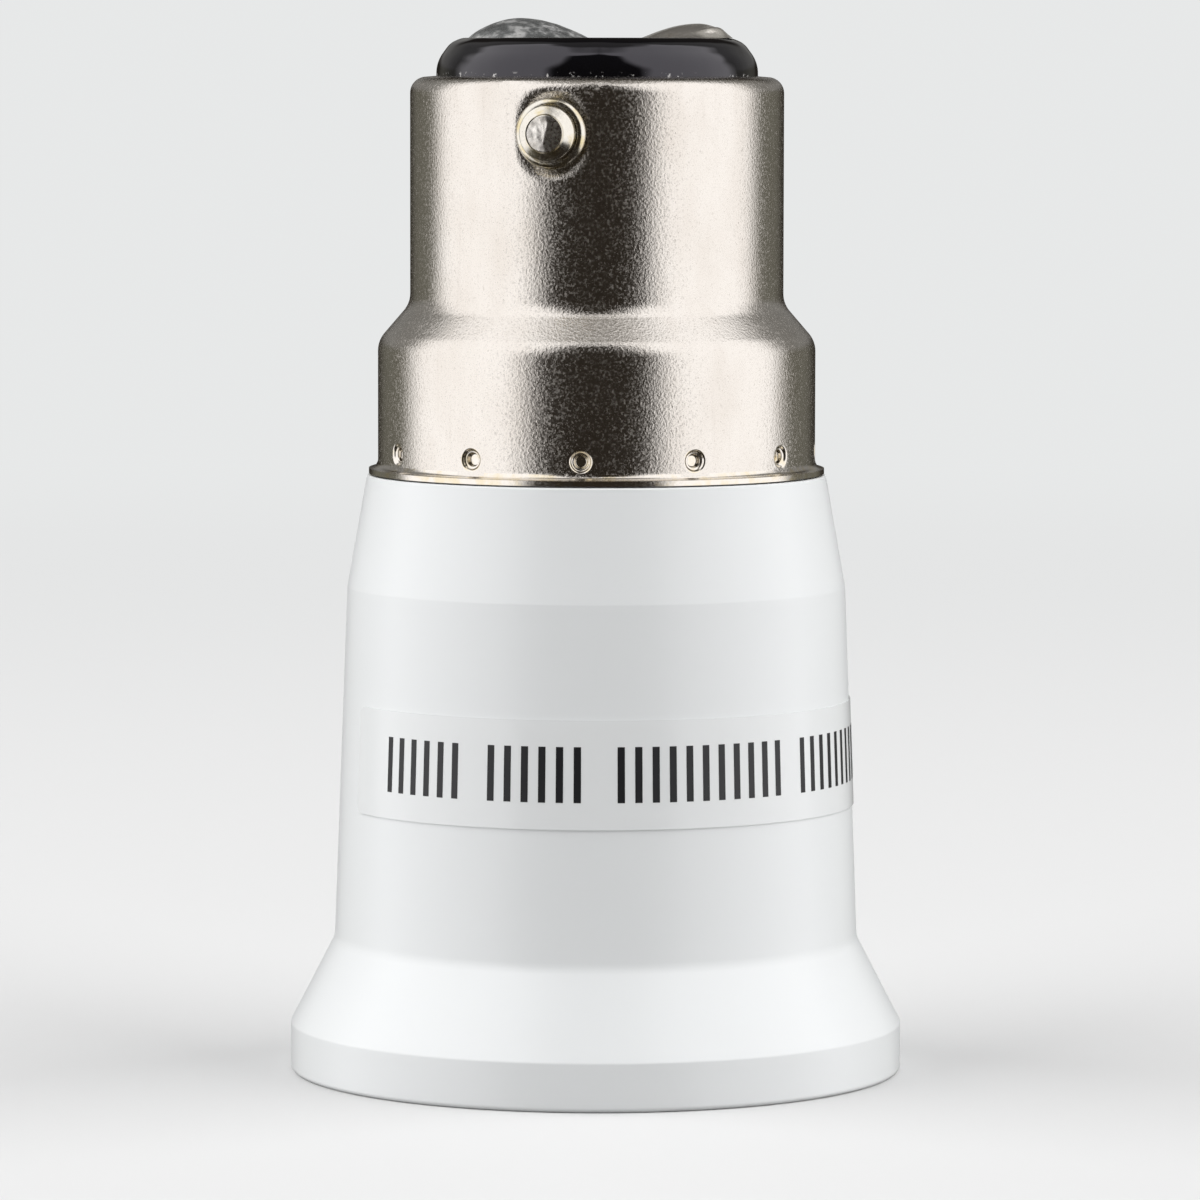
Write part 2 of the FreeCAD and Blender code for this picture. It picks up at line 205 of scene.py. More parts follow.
def lathe(
    name: str,
    path: Sequence[Point],
    columns: int,
    closed: bool = True,
    sharp: float = SHARP,
) -> bpy.types.Object:
    """A mesh turned about Z.

    Args:
        name: The piece's name.
        path: (radius, height) points of its outline, in millimetres.
        columns: Steps round the axis.
        closed: Whether the outline's last point joins its first.
        sharp: Edges that turn by more than this many degrees shade sharp.

    Returns:
        The object.
    """
    vertices = []
    for i in range(columns):
        angle = TURN * i / columns
        vertices.extend((r * math.cos(angle), r * math.sin(angle), z) for r, z in path)
    return made_mesh(name, vertices, bands(columns, len(path), ring=True, loop=closed), sharp)


def thickened(
    obj: bpy.types.Object, sheet: float, inward: bool = True, sharp: float = SHARP
) -> bpy.types.Object:
    """Gives an open skin the thickness of its sheet.

    Args:
        obj: The skin, whose faces look outwards.
        sheet: The sheet's thickness, in millimetres.
        inward: Whether the sheet lies inside the skin.
        sharp: Edges that turn by more than this many degrees shade sharp.

    Returns:
        The same object.
    """
    solid = obj.modifiers.new("sheet", "SOLIDIFY")
    solid.thickness = sheet * MM
    solid.offset = -1 if inward else 1
    solid.use_even_offset = False
    graph = bpy.context.evaluated_depsgraph_get()
    mesh = bpy.data.meshes.new_from_object(obj.evaluated_get(graph))
    old = obj.data
    obj.modifiers.clear()
    obj.data = mesh
    bpy.data.meshes.remove(old)
    tidy_mesh(obj, sharp, outward=False)
    return obj


@dataclass(frozen=True)
class Window:
    """A square window in a turned skin, filled by rings that sink towards the axis.

    A ring is (radius, depth). Where the window has a flat, at that distance from the axis, a ring is
    (radius, share) instead, the share of the way down to the flat. Half is half the window's width, and
    parts is how many steps that width has. A shut window has a floor. Rings smaller than worn take the
    second finish.
    """

    angle: float
    level: float
    half: float
    parts: int
    rings: tuple[Point, ...]
    shut: bool
    worn: float = 0.0
    flat: float = 0.0


class WindowedSkin:
    """A turned skin with square windows, each filled by a round patch.

    The skin's lines run up its outline and round its axis. Where a window is, the lines' ends on the
    window's edge are the spokes of the patch, so that its rings are true circles.
    """

    near_columns = math.radians(0.3)
    near_rows = 0.02

    def __init__(
        self, path: Sequence[Point], windows: Sequence[Window], turn: float, rise: float, rubbed: float
    ) -> None:
        """Lays out the lines.

        Args:
            path: (radius, height) points of the outline, from the foot up, in millimetres.
            windows: The windows.
            turn: The widest step round the axis, in degrees.
            rise: The longest step along the outline, in millimetres.
            rubbed: The height below which the skin is rubbed, and takes the second finish.
        """
        self.rubbed = rubbed
        self.path = np.array(path)
        lengths = np.linalg.norm(np.diff(self.path, axis=0), axis=1)
        self.along = np.concatenate(([0.0], np.cumsum(lengths)))
        self.windows = windows
        columns: list[float] = []
        column_edges: list[float] = []
        rows: list[float] = []
        row_edges: list[float] = []
        for window in windows:
            middle, reach = self.middle(window), self.reach(window)
            shares = [2 * k / window.parts - 1 for k in range(window.parts + 1)]
            column_edges += [window.angle - reach, window.angle + reach]
            columns += [window.angle + share * reach for share in shares[1:-1]]
            row_edges += [middle - window.half, middle + window.half]
            rows += [middle + share * window.half for share in shares[1:-1]]
        self.columns = self.spread(column_edges, columns, self.near_columns, math.radians(turn), TURN)
        self.rows = self.spread([*row_edges, *self.along], rows, self.near_rows, rise, None)
        self.vertices: list[Sequence[float]] = []
        self.faces: list[Face] = []
        self.worn: list[int] = []

    def middle(self, window: Window) -> float:
        """A window's middle, as a length along the outline."""
        return float(np.interp(window.level, self.path[:, 1], self.along))

    def at(self, length: float) -> Point:
        """The outline's radius and height at a length along it."""
        radius, height = (float(np.interp(length, self.along, self.path[:, k])) for k in (0, 1))
        return radius, height

    def reach(self, window: Window) -> float:
        """Half a window's width, as an angle round the axis."""
        return math.asin(window.half / self.at(self.middle(window))[0])

    @staticmethod
    def spread(
        edges: Sequence[float], lines: Sequence[float], near: float, gap: float, cycle: float | None
    ) -> list[float]:
        """Sorted lines: every edge, the other lines that aren't close to one, and more in wide gaps.

        Args:
            edges: Lines that stay.
            lines: Lines that go where another is near.
            near: How close is near.
            gap: The widest gap.
            cycle: Where the lines start again, or None.

        Returns:
            The lines, in order.
        """
        wrap = (lambda value: value % cycle) if cycle else (lambda value: value)
        kept = sorted({round(wrap(value), 9) for value in edges})
        kept = [v for i, v in enumerate(kept) if i == 0 or v - kept[i - 1] > 1e-6]
        for value in sorted(wrap(line) for line in lines):
            if min(abs(value - other) for other in kept) > near:
                kept.append(value)
        kept.sort()
        ends = [*kept[1:], kept[0] + cycle] if cycle else kept[1:]
        filled = []
        for start, end in zip(kept, ends):
            parts = max(1, math.ceil((end - start) / gap))
            filled.extend(start + (end - start) * k / parts for k in range(parts))
        return filled if cycle else [*filled, kept[-1]]

    def inside(self, turn: float, length: float) -> Window | None:
        """The window that a place on the skin lies in, if any."""
        for window in self.windows:
            apart = (turn - window.angle + math.pi) % TURN - math.pi
            if abs(apart) < self.reach(window) and abs(length - self.middle(window)) < window.half:
                return window
        return None

    def build(self, name: str, sharp: float) -> bpy.types.Object:
        """Makes the skin.

        Args:
            name: The piece's name.
            sharp: Edges that turn by more than this many degrees shade sharp.

        Returns:
            The object, an open skin whose faces look outwards.
        """
        across, up = len(self.columns), len(self.rows)
        for turn in self.columns:
            for length in self.rows:
                r, z = self.at(length)
                self.vertices.append((r * math.cos(turn), r * math.sin(turn), z))
        for i in range(across):
            after = (self.columns[(i + 1) % across] - self.columns[i]) % TURN
            for j in range(up - 1):
                if not self.inside(self.columns[i] + after / 2, (self.rows[j] + self.rows[j + 1]) / 2):
                    if self.at(self.rows[j + 1])[1] < self.rubbed:
                        self.worn.append(len(self.faces))
                    here, there = i * up, (i + 1) % across * up
                    self.faces.append((here + j, there + j, there + j + 1, here + j + 1))
        for window in self.windows:
            self.fill(window)
        return made_mesh(name, self.vertices, self.faces, sharp, outward=False, second=self.worn)

    def column(self, turn: float) -> int:
        """The number of the column that is nearest to an angle."""
        gaps = [abs((turn - line + math.pi) % TURN - math.pi) for line in self.columns]
        return gaps.index(min(gaps))

    def row(self, length: float) -> int:
        """The number of the row that is nearest to a length along the outline."""
        return min(range(len(self.rows)), key=lambda j: abs(self.rows[j] - length))

    def edge(self, window: Window) -> list[tuple[int, int]]:
        """Where a window's edge runs.

        Args:
            window: The window.

        Returns:
            The (column, row) of each of its points, all the way round.
        """
        middle, reach = self.middle(window), self.reach(window)
        left, right = self.column(window.angle - reach), self.column(window.angle + reach)
        low, high = self.row(middle - window.half), self.row(middle + window.half)
        loop = [(i, low) for i in range(left, right)] + [(right, j) for j in range(low, high)]
        return loop + [(i, high) for i in range(right, left, -1)] + [(left, j) for j in range(high, low, -1)]

    def fill(self, window: Window) -> None:
        """Fills a window with its rings.

        Args:
            window: The window.
        """
        middle = self.middle(window)
        radius = self.at(middle)[0]
        loop = self.edge(window)
        places = []
        for i, j in loop:
            u = radius * math.sin(self.columns[i] - window.angle)
            v = self.rows[j] - middle
            places.append((math.hypot(u, v), math.atan2(v, u)))
        sinking = np.array((math.cos(window.angle), math.sin(window.angle), 0.0))
        outer = [i * len(self.rows) + j for i, j in loop]
        first_ring = window.rings[0][0]
        for size, depth in ((None, 0.0), *window.rings):
            start = len(self.vertices)
            for reach_out, spoke in places:
                rho = (reach_out + first_ring) / 2 if size is None else size
                r, z = self.at(middle + rho * math.sin(spoke))
                turn = window.angle + math.asin(rho * math.cos(spoke) / radius)
                place = np.array((r * math.cos(turn), r * math.sin(turn), z))
                reach_in = max(float(place @ sinking) - window.flat, 0.0) if window.flat else 1.0
                self.vertices.append(tuple(place - sinking * depth * reach_in))
            inner = list(range(start, start + len(loop)))
            for k in range(len(loop)):
                after = (k + 1) % len(loop)
                if size is not None and size < window.worn:
                    self.worn.append(len(self.faces))
                self.faces.append((outer[k], outer[after], inner[after], inner[k]))
            outer = inner
        if window.shut:
            floor = np.mean([self.vertices[k] for k in outer], axis=0)
            self.vertices.append(tuple(floor))
            hub = len(self.vertices) - 1
            for k in range(len(loop)):
                self.worn.append(len(self.faces))
                self.faces.append((outer[k], outer[(k + 1) % len(loop)], hub))


# Materials' nodes


class Nodes:
    """A node tree, with short calls for the nodes that this scene uses."""

    def __init__(self, tree: bpy.types.NodeTree) -> None:
        """Takes the tree that the nodes go into."""
        self.tree = tree

    def put(self, value: Value, socket: bpy.types.NodeSocket) -> None:
        """Gives a socket a value.

        Args:
            value: A number or a colour, or another socket, which is linked to it.
            socket: The socket.
        """
        if isinstance(value, bpy.types.NodeSocket):
            self.tree.links.new(value, socket)
        elif socket.type == "RGBA" and len(value) == 3:
            socket.default_value = (*value, 1.0)
        else:
            socket.default_value = value

    def add(self, kind: str, output: str, **inputs: Value) -> bpy.types.NodeSocket:
        """Adds a node.

        Args:
            kind: Its type, without the ShaderNode before it.
            output: The output that is wanted.
            inputs: What its sockets get, by name with _ for a space.

        Returns:
            The output's socket.
        """
        node = self.tree.nodes.new(f"ShaderNode{kind}")
        for name, value in inputs.items():
            self.put(value, node.inputs[name.replace("_", " ")])
        return node.outputs[output]

    def math(self, operation: str, *values: Value) -> bpy.types.NodeSocket:
        """One step of arithmetic.

        Args:
            operation: What is done.
            values: Its sockets or numbers.

        Returns:
            The result.
        """
        node = self.tree.nodes.new("ShaderNodeMath")
        node.operation = operation
        for value, socket in zip(values, node.inputs):
            self.put(value, socket)
        return node.outputs["Value"]

    def product(self, *values: Value) -> bpy.types.NodeSocket:
        """All the values multiplied."""
        return reduce(lambda first, second: self.math("MULTIPLY", first, second), values)

    def mix(self, first: Value, second: Value, share: Value) -> bpy.types.NodeSocket:
        """Mixes two colours.

        Args:
            first: The colour where the share is 0.
            second: The colour where it is 1.
            share: How much of the second there is.

        Returns:
            The mixed colour.
        """
        node = self.tree.nodes.new("ShaderNodeMix")
        node.data_type = "RGBA"
        for name, value in (("A", first), ("B", second), ("Factor", share)):
            self.put(value, node.inputs[name])
        return node.outputs["Result"]

    def span(
        self, value: Value, low: float, high: float, start: float = 0.0, end: float = 1.0, soft: bool = False
    ) -> bpy.types.NodeSocket:
        """Maps one range of values onto another, and stops at its ends.

        Args:
            value: What is mapped.
            low: Where the range begins.
            high: Where it ends.
            start: What its beginning becomes.
            end: What its end becomes.
            soft: Whether it has soft ends.

        Returns:
            The mapped value.
        """
        if soft and low > high:
            low, high, start, end = high, low, end, start
        ends = {"From_Min": low, "From_Max": high, "To_Min": start, "To_Max": end}
        mapped = self.add("MapRange", "Result", Value=value, **ends)
        if soft:
            mapped.node.interpolation_type = "SMOOTHSTEP"
        return mapped

    def place(self) -> bpy.types.NodeSocket:
        """The place on the object, in metres."""
        return self.add("TexCoord", "Object")

    def axis(self, name: str) -> bpy.types.NodeSocket:
        """The place along one axis, in metres."""
        return self.add("SeparateXYZ", name, Vector=self.place())

    def noise(
        self, size: float, detail: float = 2.0, stretch: Colour = (1.0, 1.0, 1.0), tight: float = 0.5
    ) -> bpy.types.NodeSocket:
        """Soft noise over the object.

        Args:
            size: The size of its spots, in millimetres.
            detail: How many finer layers it has.
            stretch: How much longer the spots are along X, Y and Z.
            tight: How strong the finer layers are.

        Returns:
            The noise, about 0 to 1.
        """
        place = self.add("Mapping", "Vector", Vector=self.place(), Scale=tuple(1 / s for s in stretch))
        fineness = 1 / (size * MM)
        return self.add("TexNoise", "Fac", Vector=place, Scale=fineness, Detail=detail, Roughness=tight)

    def seen(self) -> bpy.types.NodeSocket:
        """1 for the camera's rays, and for those that metal and glass send on, else 0."""
        rays = (self.add("LightPath", f"Is {kind} Ray") for kind in ("Camera", "Glossy", "Transmission"))
        return reduce(lambda first, second: self.math("MAXIMUM", first, second), rays)


class Sketch(Nodes):
    """A new material of one shader, with short calls for what the finishes do to it."""

    def __init__(self, name: str, colour: Colour, roughness: float, metallic: float = 0.0) -> None:
        """Starts a material.

        Args:
            name: The material's name.
            colour: The base colour, linear.
            roughness: The base roughness.
            metallic: 0 for no metal, 1 for bare metal.
        """
        self.material = bpy.data.materials.new(name)
        self.material.use_nodes = True
        super().__init__(self.material.node_tree)
        self.shader = self.tree.nodes["Principled BSDF"]
        self.feed(Base_Color=colour, Roughness=roughness, Metallic=metallic)

    def feed(self, **values: Value) -> None:
        """Gives the shader's own sockets their values, by name with _ for a space."""
        for name, value in values.items():
            self.put(value, self.shader.inputs[name.replace("_", " ")])

    def tint(self, share: bpy.types.NodeSocket, colour: Colour) -> None:
        """Mixes a second colour into the base colour.

        Args:
            share: How much of it, 0 to 1.
            colour: The second colour, linear.
        """
        base = self.shader.inputs["Base Color"]
        under = base.links[0].from_socket if base.is_linked else tuple(base.default_value)
        self.put(self.mix(under, colour, share), base)

    def bump(self, value: bpy.types.NodeSocket, depth: float) -> None:
        """Adds relief to the surface.

        Args:
            value: The relief, 0 to 1.
            depth: Its full depth, in millimetres.
        """
        normal = self.shader.inputs["Normal"]
        under = {"Normal": normal.links[0].from_socket} if normal.is_linked else {}
        self.put(self.add("Bump", "Normal", Height=value, Distance=depth * MM, **under), normal)


class Glow(Nodes):
    """A new material without a shader, for what shows a colour worked out from its place."""

    def __init__(self, name: str) -> None:
        """Starts a material of this name with an output alone."""
        self.material = bpy.data.materials.new(name)
        self.material.use_nodes = True
        super().__init__(self.material.node_tree)
        self.tree.nodes.clear()
        self.surface = self.tree.nodes.new("ShaderNodeOutputMaterial").inputs["Surface"]

    def shine(self, colour: Value) -> bpy.types.NodeSocket:
        """A glow of a colour."""
        return self.add("Emission", "Emission", Color=colour)


# Finishes


@dataclass(frozen=True)
class MouldedPlastic:
    """White moulded plastic: low gloss, with the faint unevenness of a moulding."""

    colour: Colour = (0.845, 0.86, 0.865)
    roughness: float = 0.28
    spots: float = 9.0
    shade: float = 0.985

    def material(self) -> bpy.types.Material:
        """The finish as a material."""
        sketch = Sketch("white_plastic", self.colour, self.roughness)
        sketch.tint(sketch.noise(self.spots), tuple(c * self.shade for c in self.colour))
        sketch.feed(IOR=1.49)
        return sketch.material


@dataclass(frozen=True)
class PlatedSheet:
    """Satin nickel on drawn sheet: rough fine pits all over, clouds, and faint streaks up the draw."""

    name: str = "nickel_shell"
    colour: Colour = (0.72, 0.685, 0.635)
    roughness: float = 0.18
    grain: float = 0.16
    grain_depth: float = 0.019
    pit_roughness: float = 0.30
    cloud: float = 2.6
    cloud_colour: Colour = (0.60, 0.55, 0.49)
    streak: float = 0.5
    streak_depth: float = 0.0015
    streak_colour: Colour = (0.52, 0.48, 0.43)
    speck_colour: Colour = (0.40, 0.365, 0.32)

    def material(self) -> bpy.types.Material:
        """The finish as a material."""
        sketch = Sketch(self.name, self.colour, self.roughness, 1.0)
        clouds = sketch.noise(self.cloud, 4.0, (1.0, 1.0, 2.2))
        streaks = sketch.noise(self.streak, 3.0, (1.0, 1.0, 14.0))
        grain = sketch.noise(self.grain, tight=0.7)
        sketch.tint(sketch.span(clouds, 0.42, 0.78, 0.0, 0.55), self.cloud_colour)
        sketch.tint(sketch.span(streaks, 0.58, 0.80, 0.0, 0.25), self.streak_colour)
        sketch.tint(sketch.span(grain, 0.56, 0.78, 0.0, 0.42), self.speck_colour)
        smooth, rough = self.roughness - 0.03, self.roughness + self.pit_roughness
        sketch.feed(Roughness=sketch.span(grain, 0.52, 0.24, smooth, rough))
        sketch.bump(streaks, self.streak_depth)
        sketch.bump(grain, self.grain_depth)
        return sketch.material


@dataclass(frozen=True)
class BareMetal:
    """Metal with a second colour in patches, and a fine grain: rubbed nickel, brass, bronze or copper.

    A patch begins where the noise passes the first of the limits, and is full where it passes the second.
    """

    name: str
    colour: Colour
    second: Colour
    roughness: float
    patch: float = 1.2
    limits: Point = (0.42, 0.70)
    share: float = 0.7
    grain: float = 0.12
    grain_layers: float = 2.0
    grain_tight: float = 0.5
    grain_depth: float = 0.003
    smoother: float = 0.06
    rougher: float = 0.10

    def material(self) -> bpy.types.Material:
        """The finish as a material."""
        sketch = Sketch(self.name, self.colour, self.roughness, 1.0)
        patches = sketch.span(sketch.noise(self.patch, 3.0), *self.limits, 0.0, self.share)
        sketch.tint(patches, self.second)
        grain = sketch.noise(self.grain, self.grain_layers, tight=self.grain_tight)
        smooth, rough = self.roughness - self.smoother, self.roughness + self.rougher
        sketch.feed(Roughness=sketch.span(grain, 0.3, 0.7, smooth, rough))
        sketch.bump(grain, self.grain_depth)
        return sketch.material


@dataclass(frozen=True)
class WornNickel(BareMetal):
    """Nickel rubbed thin, so that a second colour shows through it."""

    patch: float = 0.8
    limits: Point = (0.45, 0.66)
    share: float = 1.0
    grain: float = 0.15
    grain_layers: float = 3.0
    grain_tight: float = 0.6
    grain_depth: float = 0.004
    smoother: float = 0.05
    rougher: float = 0.12


@dataclass(frozen=True)
class BlackGlass:
    """Glossy black glass, a little wavy, with bright flecks of solder along its foot."""

    colour: Colour = (0.003, 0.003, 0.004)
    roughness: float = 0.035
    foot: float = 58.75
    band: float = 0.28
    fleck: float = 0.30
    fleck_group: float = 2.5
    fleck_colour: Colour = (0.75, 0.74, 0.72)
    fleck_roughness: float = 0.4
    waves: tuple[Point, ...] = ((3.5, 0.15), (1.5, 0.022))
    sheen: tuple[float, ...] = (0.94, 0.91, 1.0, 1.0)

    def material(self) -> bpy.types.Material:
        """The finish as a material."""
        sketch = Sketch("black_glass", self.colour, self.roughness)
        near_foot = sketch.span(sketch.axis("Z"), (self.foot + self.band) * MM, self.foot * MM)
        flecks = sketch.span(sketch.noise(self.fleck), 0.61, 0.66)
        groups = sketch.span(sketch.noise(self.fleck_group, 1.0), 0.48, 0.56)
        flecks = sketch.product(flecks, near_foot, groups)
        sketch.tint(flecks, self.fleck_colour)
        sketch.feed(Roughness=sketch.span(flecks, 0.0, 1.0, self.roughness, self.fleck_roughness))
        for size, depth in self.waves:
            sketch.bump(sketch.noise(size, 1.0), depth)
        sketch.feed(IOR=1.62, Specular_Tint=self.sheen)
        return sketch.material


@dataclass(frozen=True)
class Solder:
    """Solder: dull and crusted where the flux lay, or bright where it ran freely."""

    name: str
    colour: Colour
    crust: Colour
    roughness: float
    crust_share: float
    relief: float
    bareness: float

    def material(self) -> bpy.types.Material:
        """The finish as a material."""
        sketch = Sketch(self.name, self.colour, self.roughness, self.bareness)
        clouds = sketch.noise(0.9, 4.0, tight=0.6)
        low, high = 0.62 - self.crust_share, 0.70 - self.crust_share / 2
        sketch.tint(sketch.span(clouds, low, high, 0.0, 0.8), self.crust)
        smooth, rough = self.roughness - 0.06, self.roughness + 0.16
        sketch.feed(Roughness=sketch.span(clouds, 0.35, 0.65, smooth, rough))
        sketch.bump(sketch.noise(0.5, 3.0), self.relief)
        return sketch.material


@dataclass(frozen=True)
class PlainSkin:
    """A plain coloured skin, a little uneven: wire insulation, film or ink."""

    name: str
    colour: Colour
    roughness: float
    shade: float
    spots: float = 1.8
    dents: float = 0.6
    dent_depth: float = 0.002

    def material(self) -> bpy.types.Material:
        """The finish as a material."""
        sketch = Sketch(self.name, self.colour, self.roughness)
        spots = sketch.span(sketch.noise(self.spots, 3.0), 0.35, 0.7, 0.0, 0.7)
        sketch.tint(spots, tuple(c * self.shade for c in self.colour))
        sketch.bump(sketch.noise(self.dents), self.dent_depth)
        return sketch.material


class Finish(Enum):
    """Every finish of the adapter. Most members are named for the record's slots.

    The rubbed edge, the pin's tip and the ink are on pieces whose slot is another's.
    """

    white_plastic = MouldedPlastic()
    nickel_shell = PlatedSheet()
    nickel_pin = WornNickel("nickel_pin", (0.72, 0.69, 0.62), (0.66, 0.57, 0.36), 0.17)
    nickel_edge = WornNickel("nickel_edge", (0.76, 0.72, 0.66), (0.74, 0.66, 0.50), 0.12)
    pin_tip = WornNickel("pin_tip", (0.84, 0.81, 0.76), (0.60, 0.57, 0.52), 0.25)
    black_glass = BlackGlass()
    brass = BareMetal("brass", (0.70, 0.52, 0.25), (0.42, 0.29, 0.13), 0.30)
    dull_solder = Solder("dull_solder", (0.30, 0.31, 0.31), (0.92, 0.92, 0.91), 0.28, 0.14, 0.07, 0.75)
    bright_solder = Solder("bright_solder", (0.94, 0.90, 0.83), (0.60, 0.54, 0.47), 0.10, 0.02, 0.010, 0.88)
    nickel_screw = PlatedSheet("nickel_screw", (0.70, 0.67, 0.61), 0.24, 0.16, 0.004)
    bronze_strip = BareMetal("bronze_strip", (0.66, 0.44, 0.22), (0.40, 0.24, 0.12), 0.26)
    copper = BareMetal("copper", (0.70, 0.36, 0.20), (0.42, 0.20, 0.11), 0.34)
    brown_sleeve = PlainSkin("brown_sleeve", (0.075, 0.028, 0.014), 0.42, 0.8)
    blue_sleeve = PlainSkin("blue_sleeve", (0.012, 0.055, 0.24), 0.42, 0.8)
    clear_film = PlainSkin("clear_film", (0.842, 0.855, 0.858), 0.16, 0.99)
    black_ink = PlainSkin("black_ink", (0.010, 0.010, 0.012), 0.45, 0.6)


class Paintbox:
    """Makes each finish's material once."""

    def __init__(self) -> None:
        """Starts with no material made."""
        self.made: dict[Finish, bpy.types.Material] = {}

    def dress(self, obj: bpy.types.Object, *finishes: Finish) -> None:
        """Gives an object its finishes, one for each material slot.

        Args:
            obj: The object.
            finishes: Its finishes, in the order of its slots.
        """
        for finish in finishes:
            if finish not in self.made:
                self.made[finish] = finish.value.material()
        while len(obj.data.materials) < len(finishes):
            obj.data.materials.append(None)
        for index, slot in enumerate(obj.material_slots):
            slot.material = self.made[finishes[min(index, len(finishes) - 1)]]


@dataclass
class SubAssembly:
    """Some pieces that belong together, and the paintbox that dresses them."""

    paintbox: Paintbox

    def seat(
        self, obj: bpy.types.Object, finish: Finish, *nodes: str, more: Sequence[Finish] = ()
    ) -> bpy.types.Object:
        """Dresses a piece, lets it ride on the adapter and stand for its solids.

        Args:
            obj: The piece.
            finish: Its finish.
            nodes: The nodes that it replaces.
            more: Finishes of its other material slots.

        Returns:
            The same piece.
        """
        self.paintbox.dress(obj, finish, *more)
        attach(obj, BODY)
        if nodes:
            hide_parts(*nodes)
        return obj

    def build(self) -> list[bpy.types.Object]:
        """Makes the pieces.

        Returns:
            The pieces.
        """
        raise NotImplementedError


# The pieces


@dataclass
class Housing(SubAssembly):
    """The white moulded body: skirt, flare, barrel, cone, and the spigot inside the metal shell."""

    skirt_radius: float = 18.09
    skirt_band: float = 2.84
    skirt_wall: float = 1.55
    mouth_depth: float = 2.4
    flare_top: float = 7.9
    flare_fillet: float = 1.2
    barrel_foot_radius: float = 15.48
    barrel_top: float = 28.7
    barrel_top_radius: float = 14.71
    shoulder: float = 35.36
    shoulder_radius: float = 13.53
    spigot_radius: float = 12.5
    spigot_top: float = 42.36
    cavity_radius: float = 10.95
    bore_radius: float = 13.7
    bore_foot: float = 6.6
    floor_under: float = 28.4
    floor_over: float = 30.9
    edge: float = 0.3
    ledge_round: float = 0.14
    ledge_width: float = 0.2
    ledge_drop: float = 0.07
    spigot_step: float = 0.5
    spigot_step_rise: float = 1.5

    def build(self) -> list[bpy.types.Object]:
        """Makes the moulded body.

        Returns:
            The one piece.
        """
        mouth = self.skirt_radius - self.skirt_wall
        ledge = self.shoulder - self.ledge_drop
        spigot = self.spigot_radius - self.spigot_step
        outline = rounded([
            (mouth, 0, self.edge),
            (self.skirt_radius, 0, self.edge),
            (self.skirt_radius, self.skirt_band, self.edge),
            (self.barrel_foot_radius, self.flare_top, self.flare_fillet),
            (self.barrel_top_radius, self.barrel_top, self.edge * 2),
            (self.shoulder_radius, self.shoulder, self.ledge_round),
            (self.shoulder_radius - self.ledge_width, ledge, 0),
            (self.spigot_radius, ledge, 0),
            (spigot, self.shoulder + self.spigot_step_rise, 0),
            (spigot, self.spigot_top, 0),
            (self.cavity_radius, self.spigot_top, 0),
            (self.cavity_radius, self.floor_over, 0),
            (0, self.floor_over, 0),
            (0, self.floor_under, 0),
            (self.bore_radius, self.floor_under, 0),
            (self.bore_radius, self.bore_foot, self.edge),
            (mouth, self.mouth_depth, self.edge),
        ], closed=True)
        body = lathe("housing_body", outline, columns=240)
        return [self.seat(body, Finish.white_plastic, "housing")]

    def barrel_radius(self, level: float) -> float:
        """The barrel's outer radius at a height."""
        share = (level - self.flare_top) / (self.barrel_top - self.flare_top)
        return self.barrel_foot_radius + (self.barrel_top_radius - self.barrel_foot_radius) * share


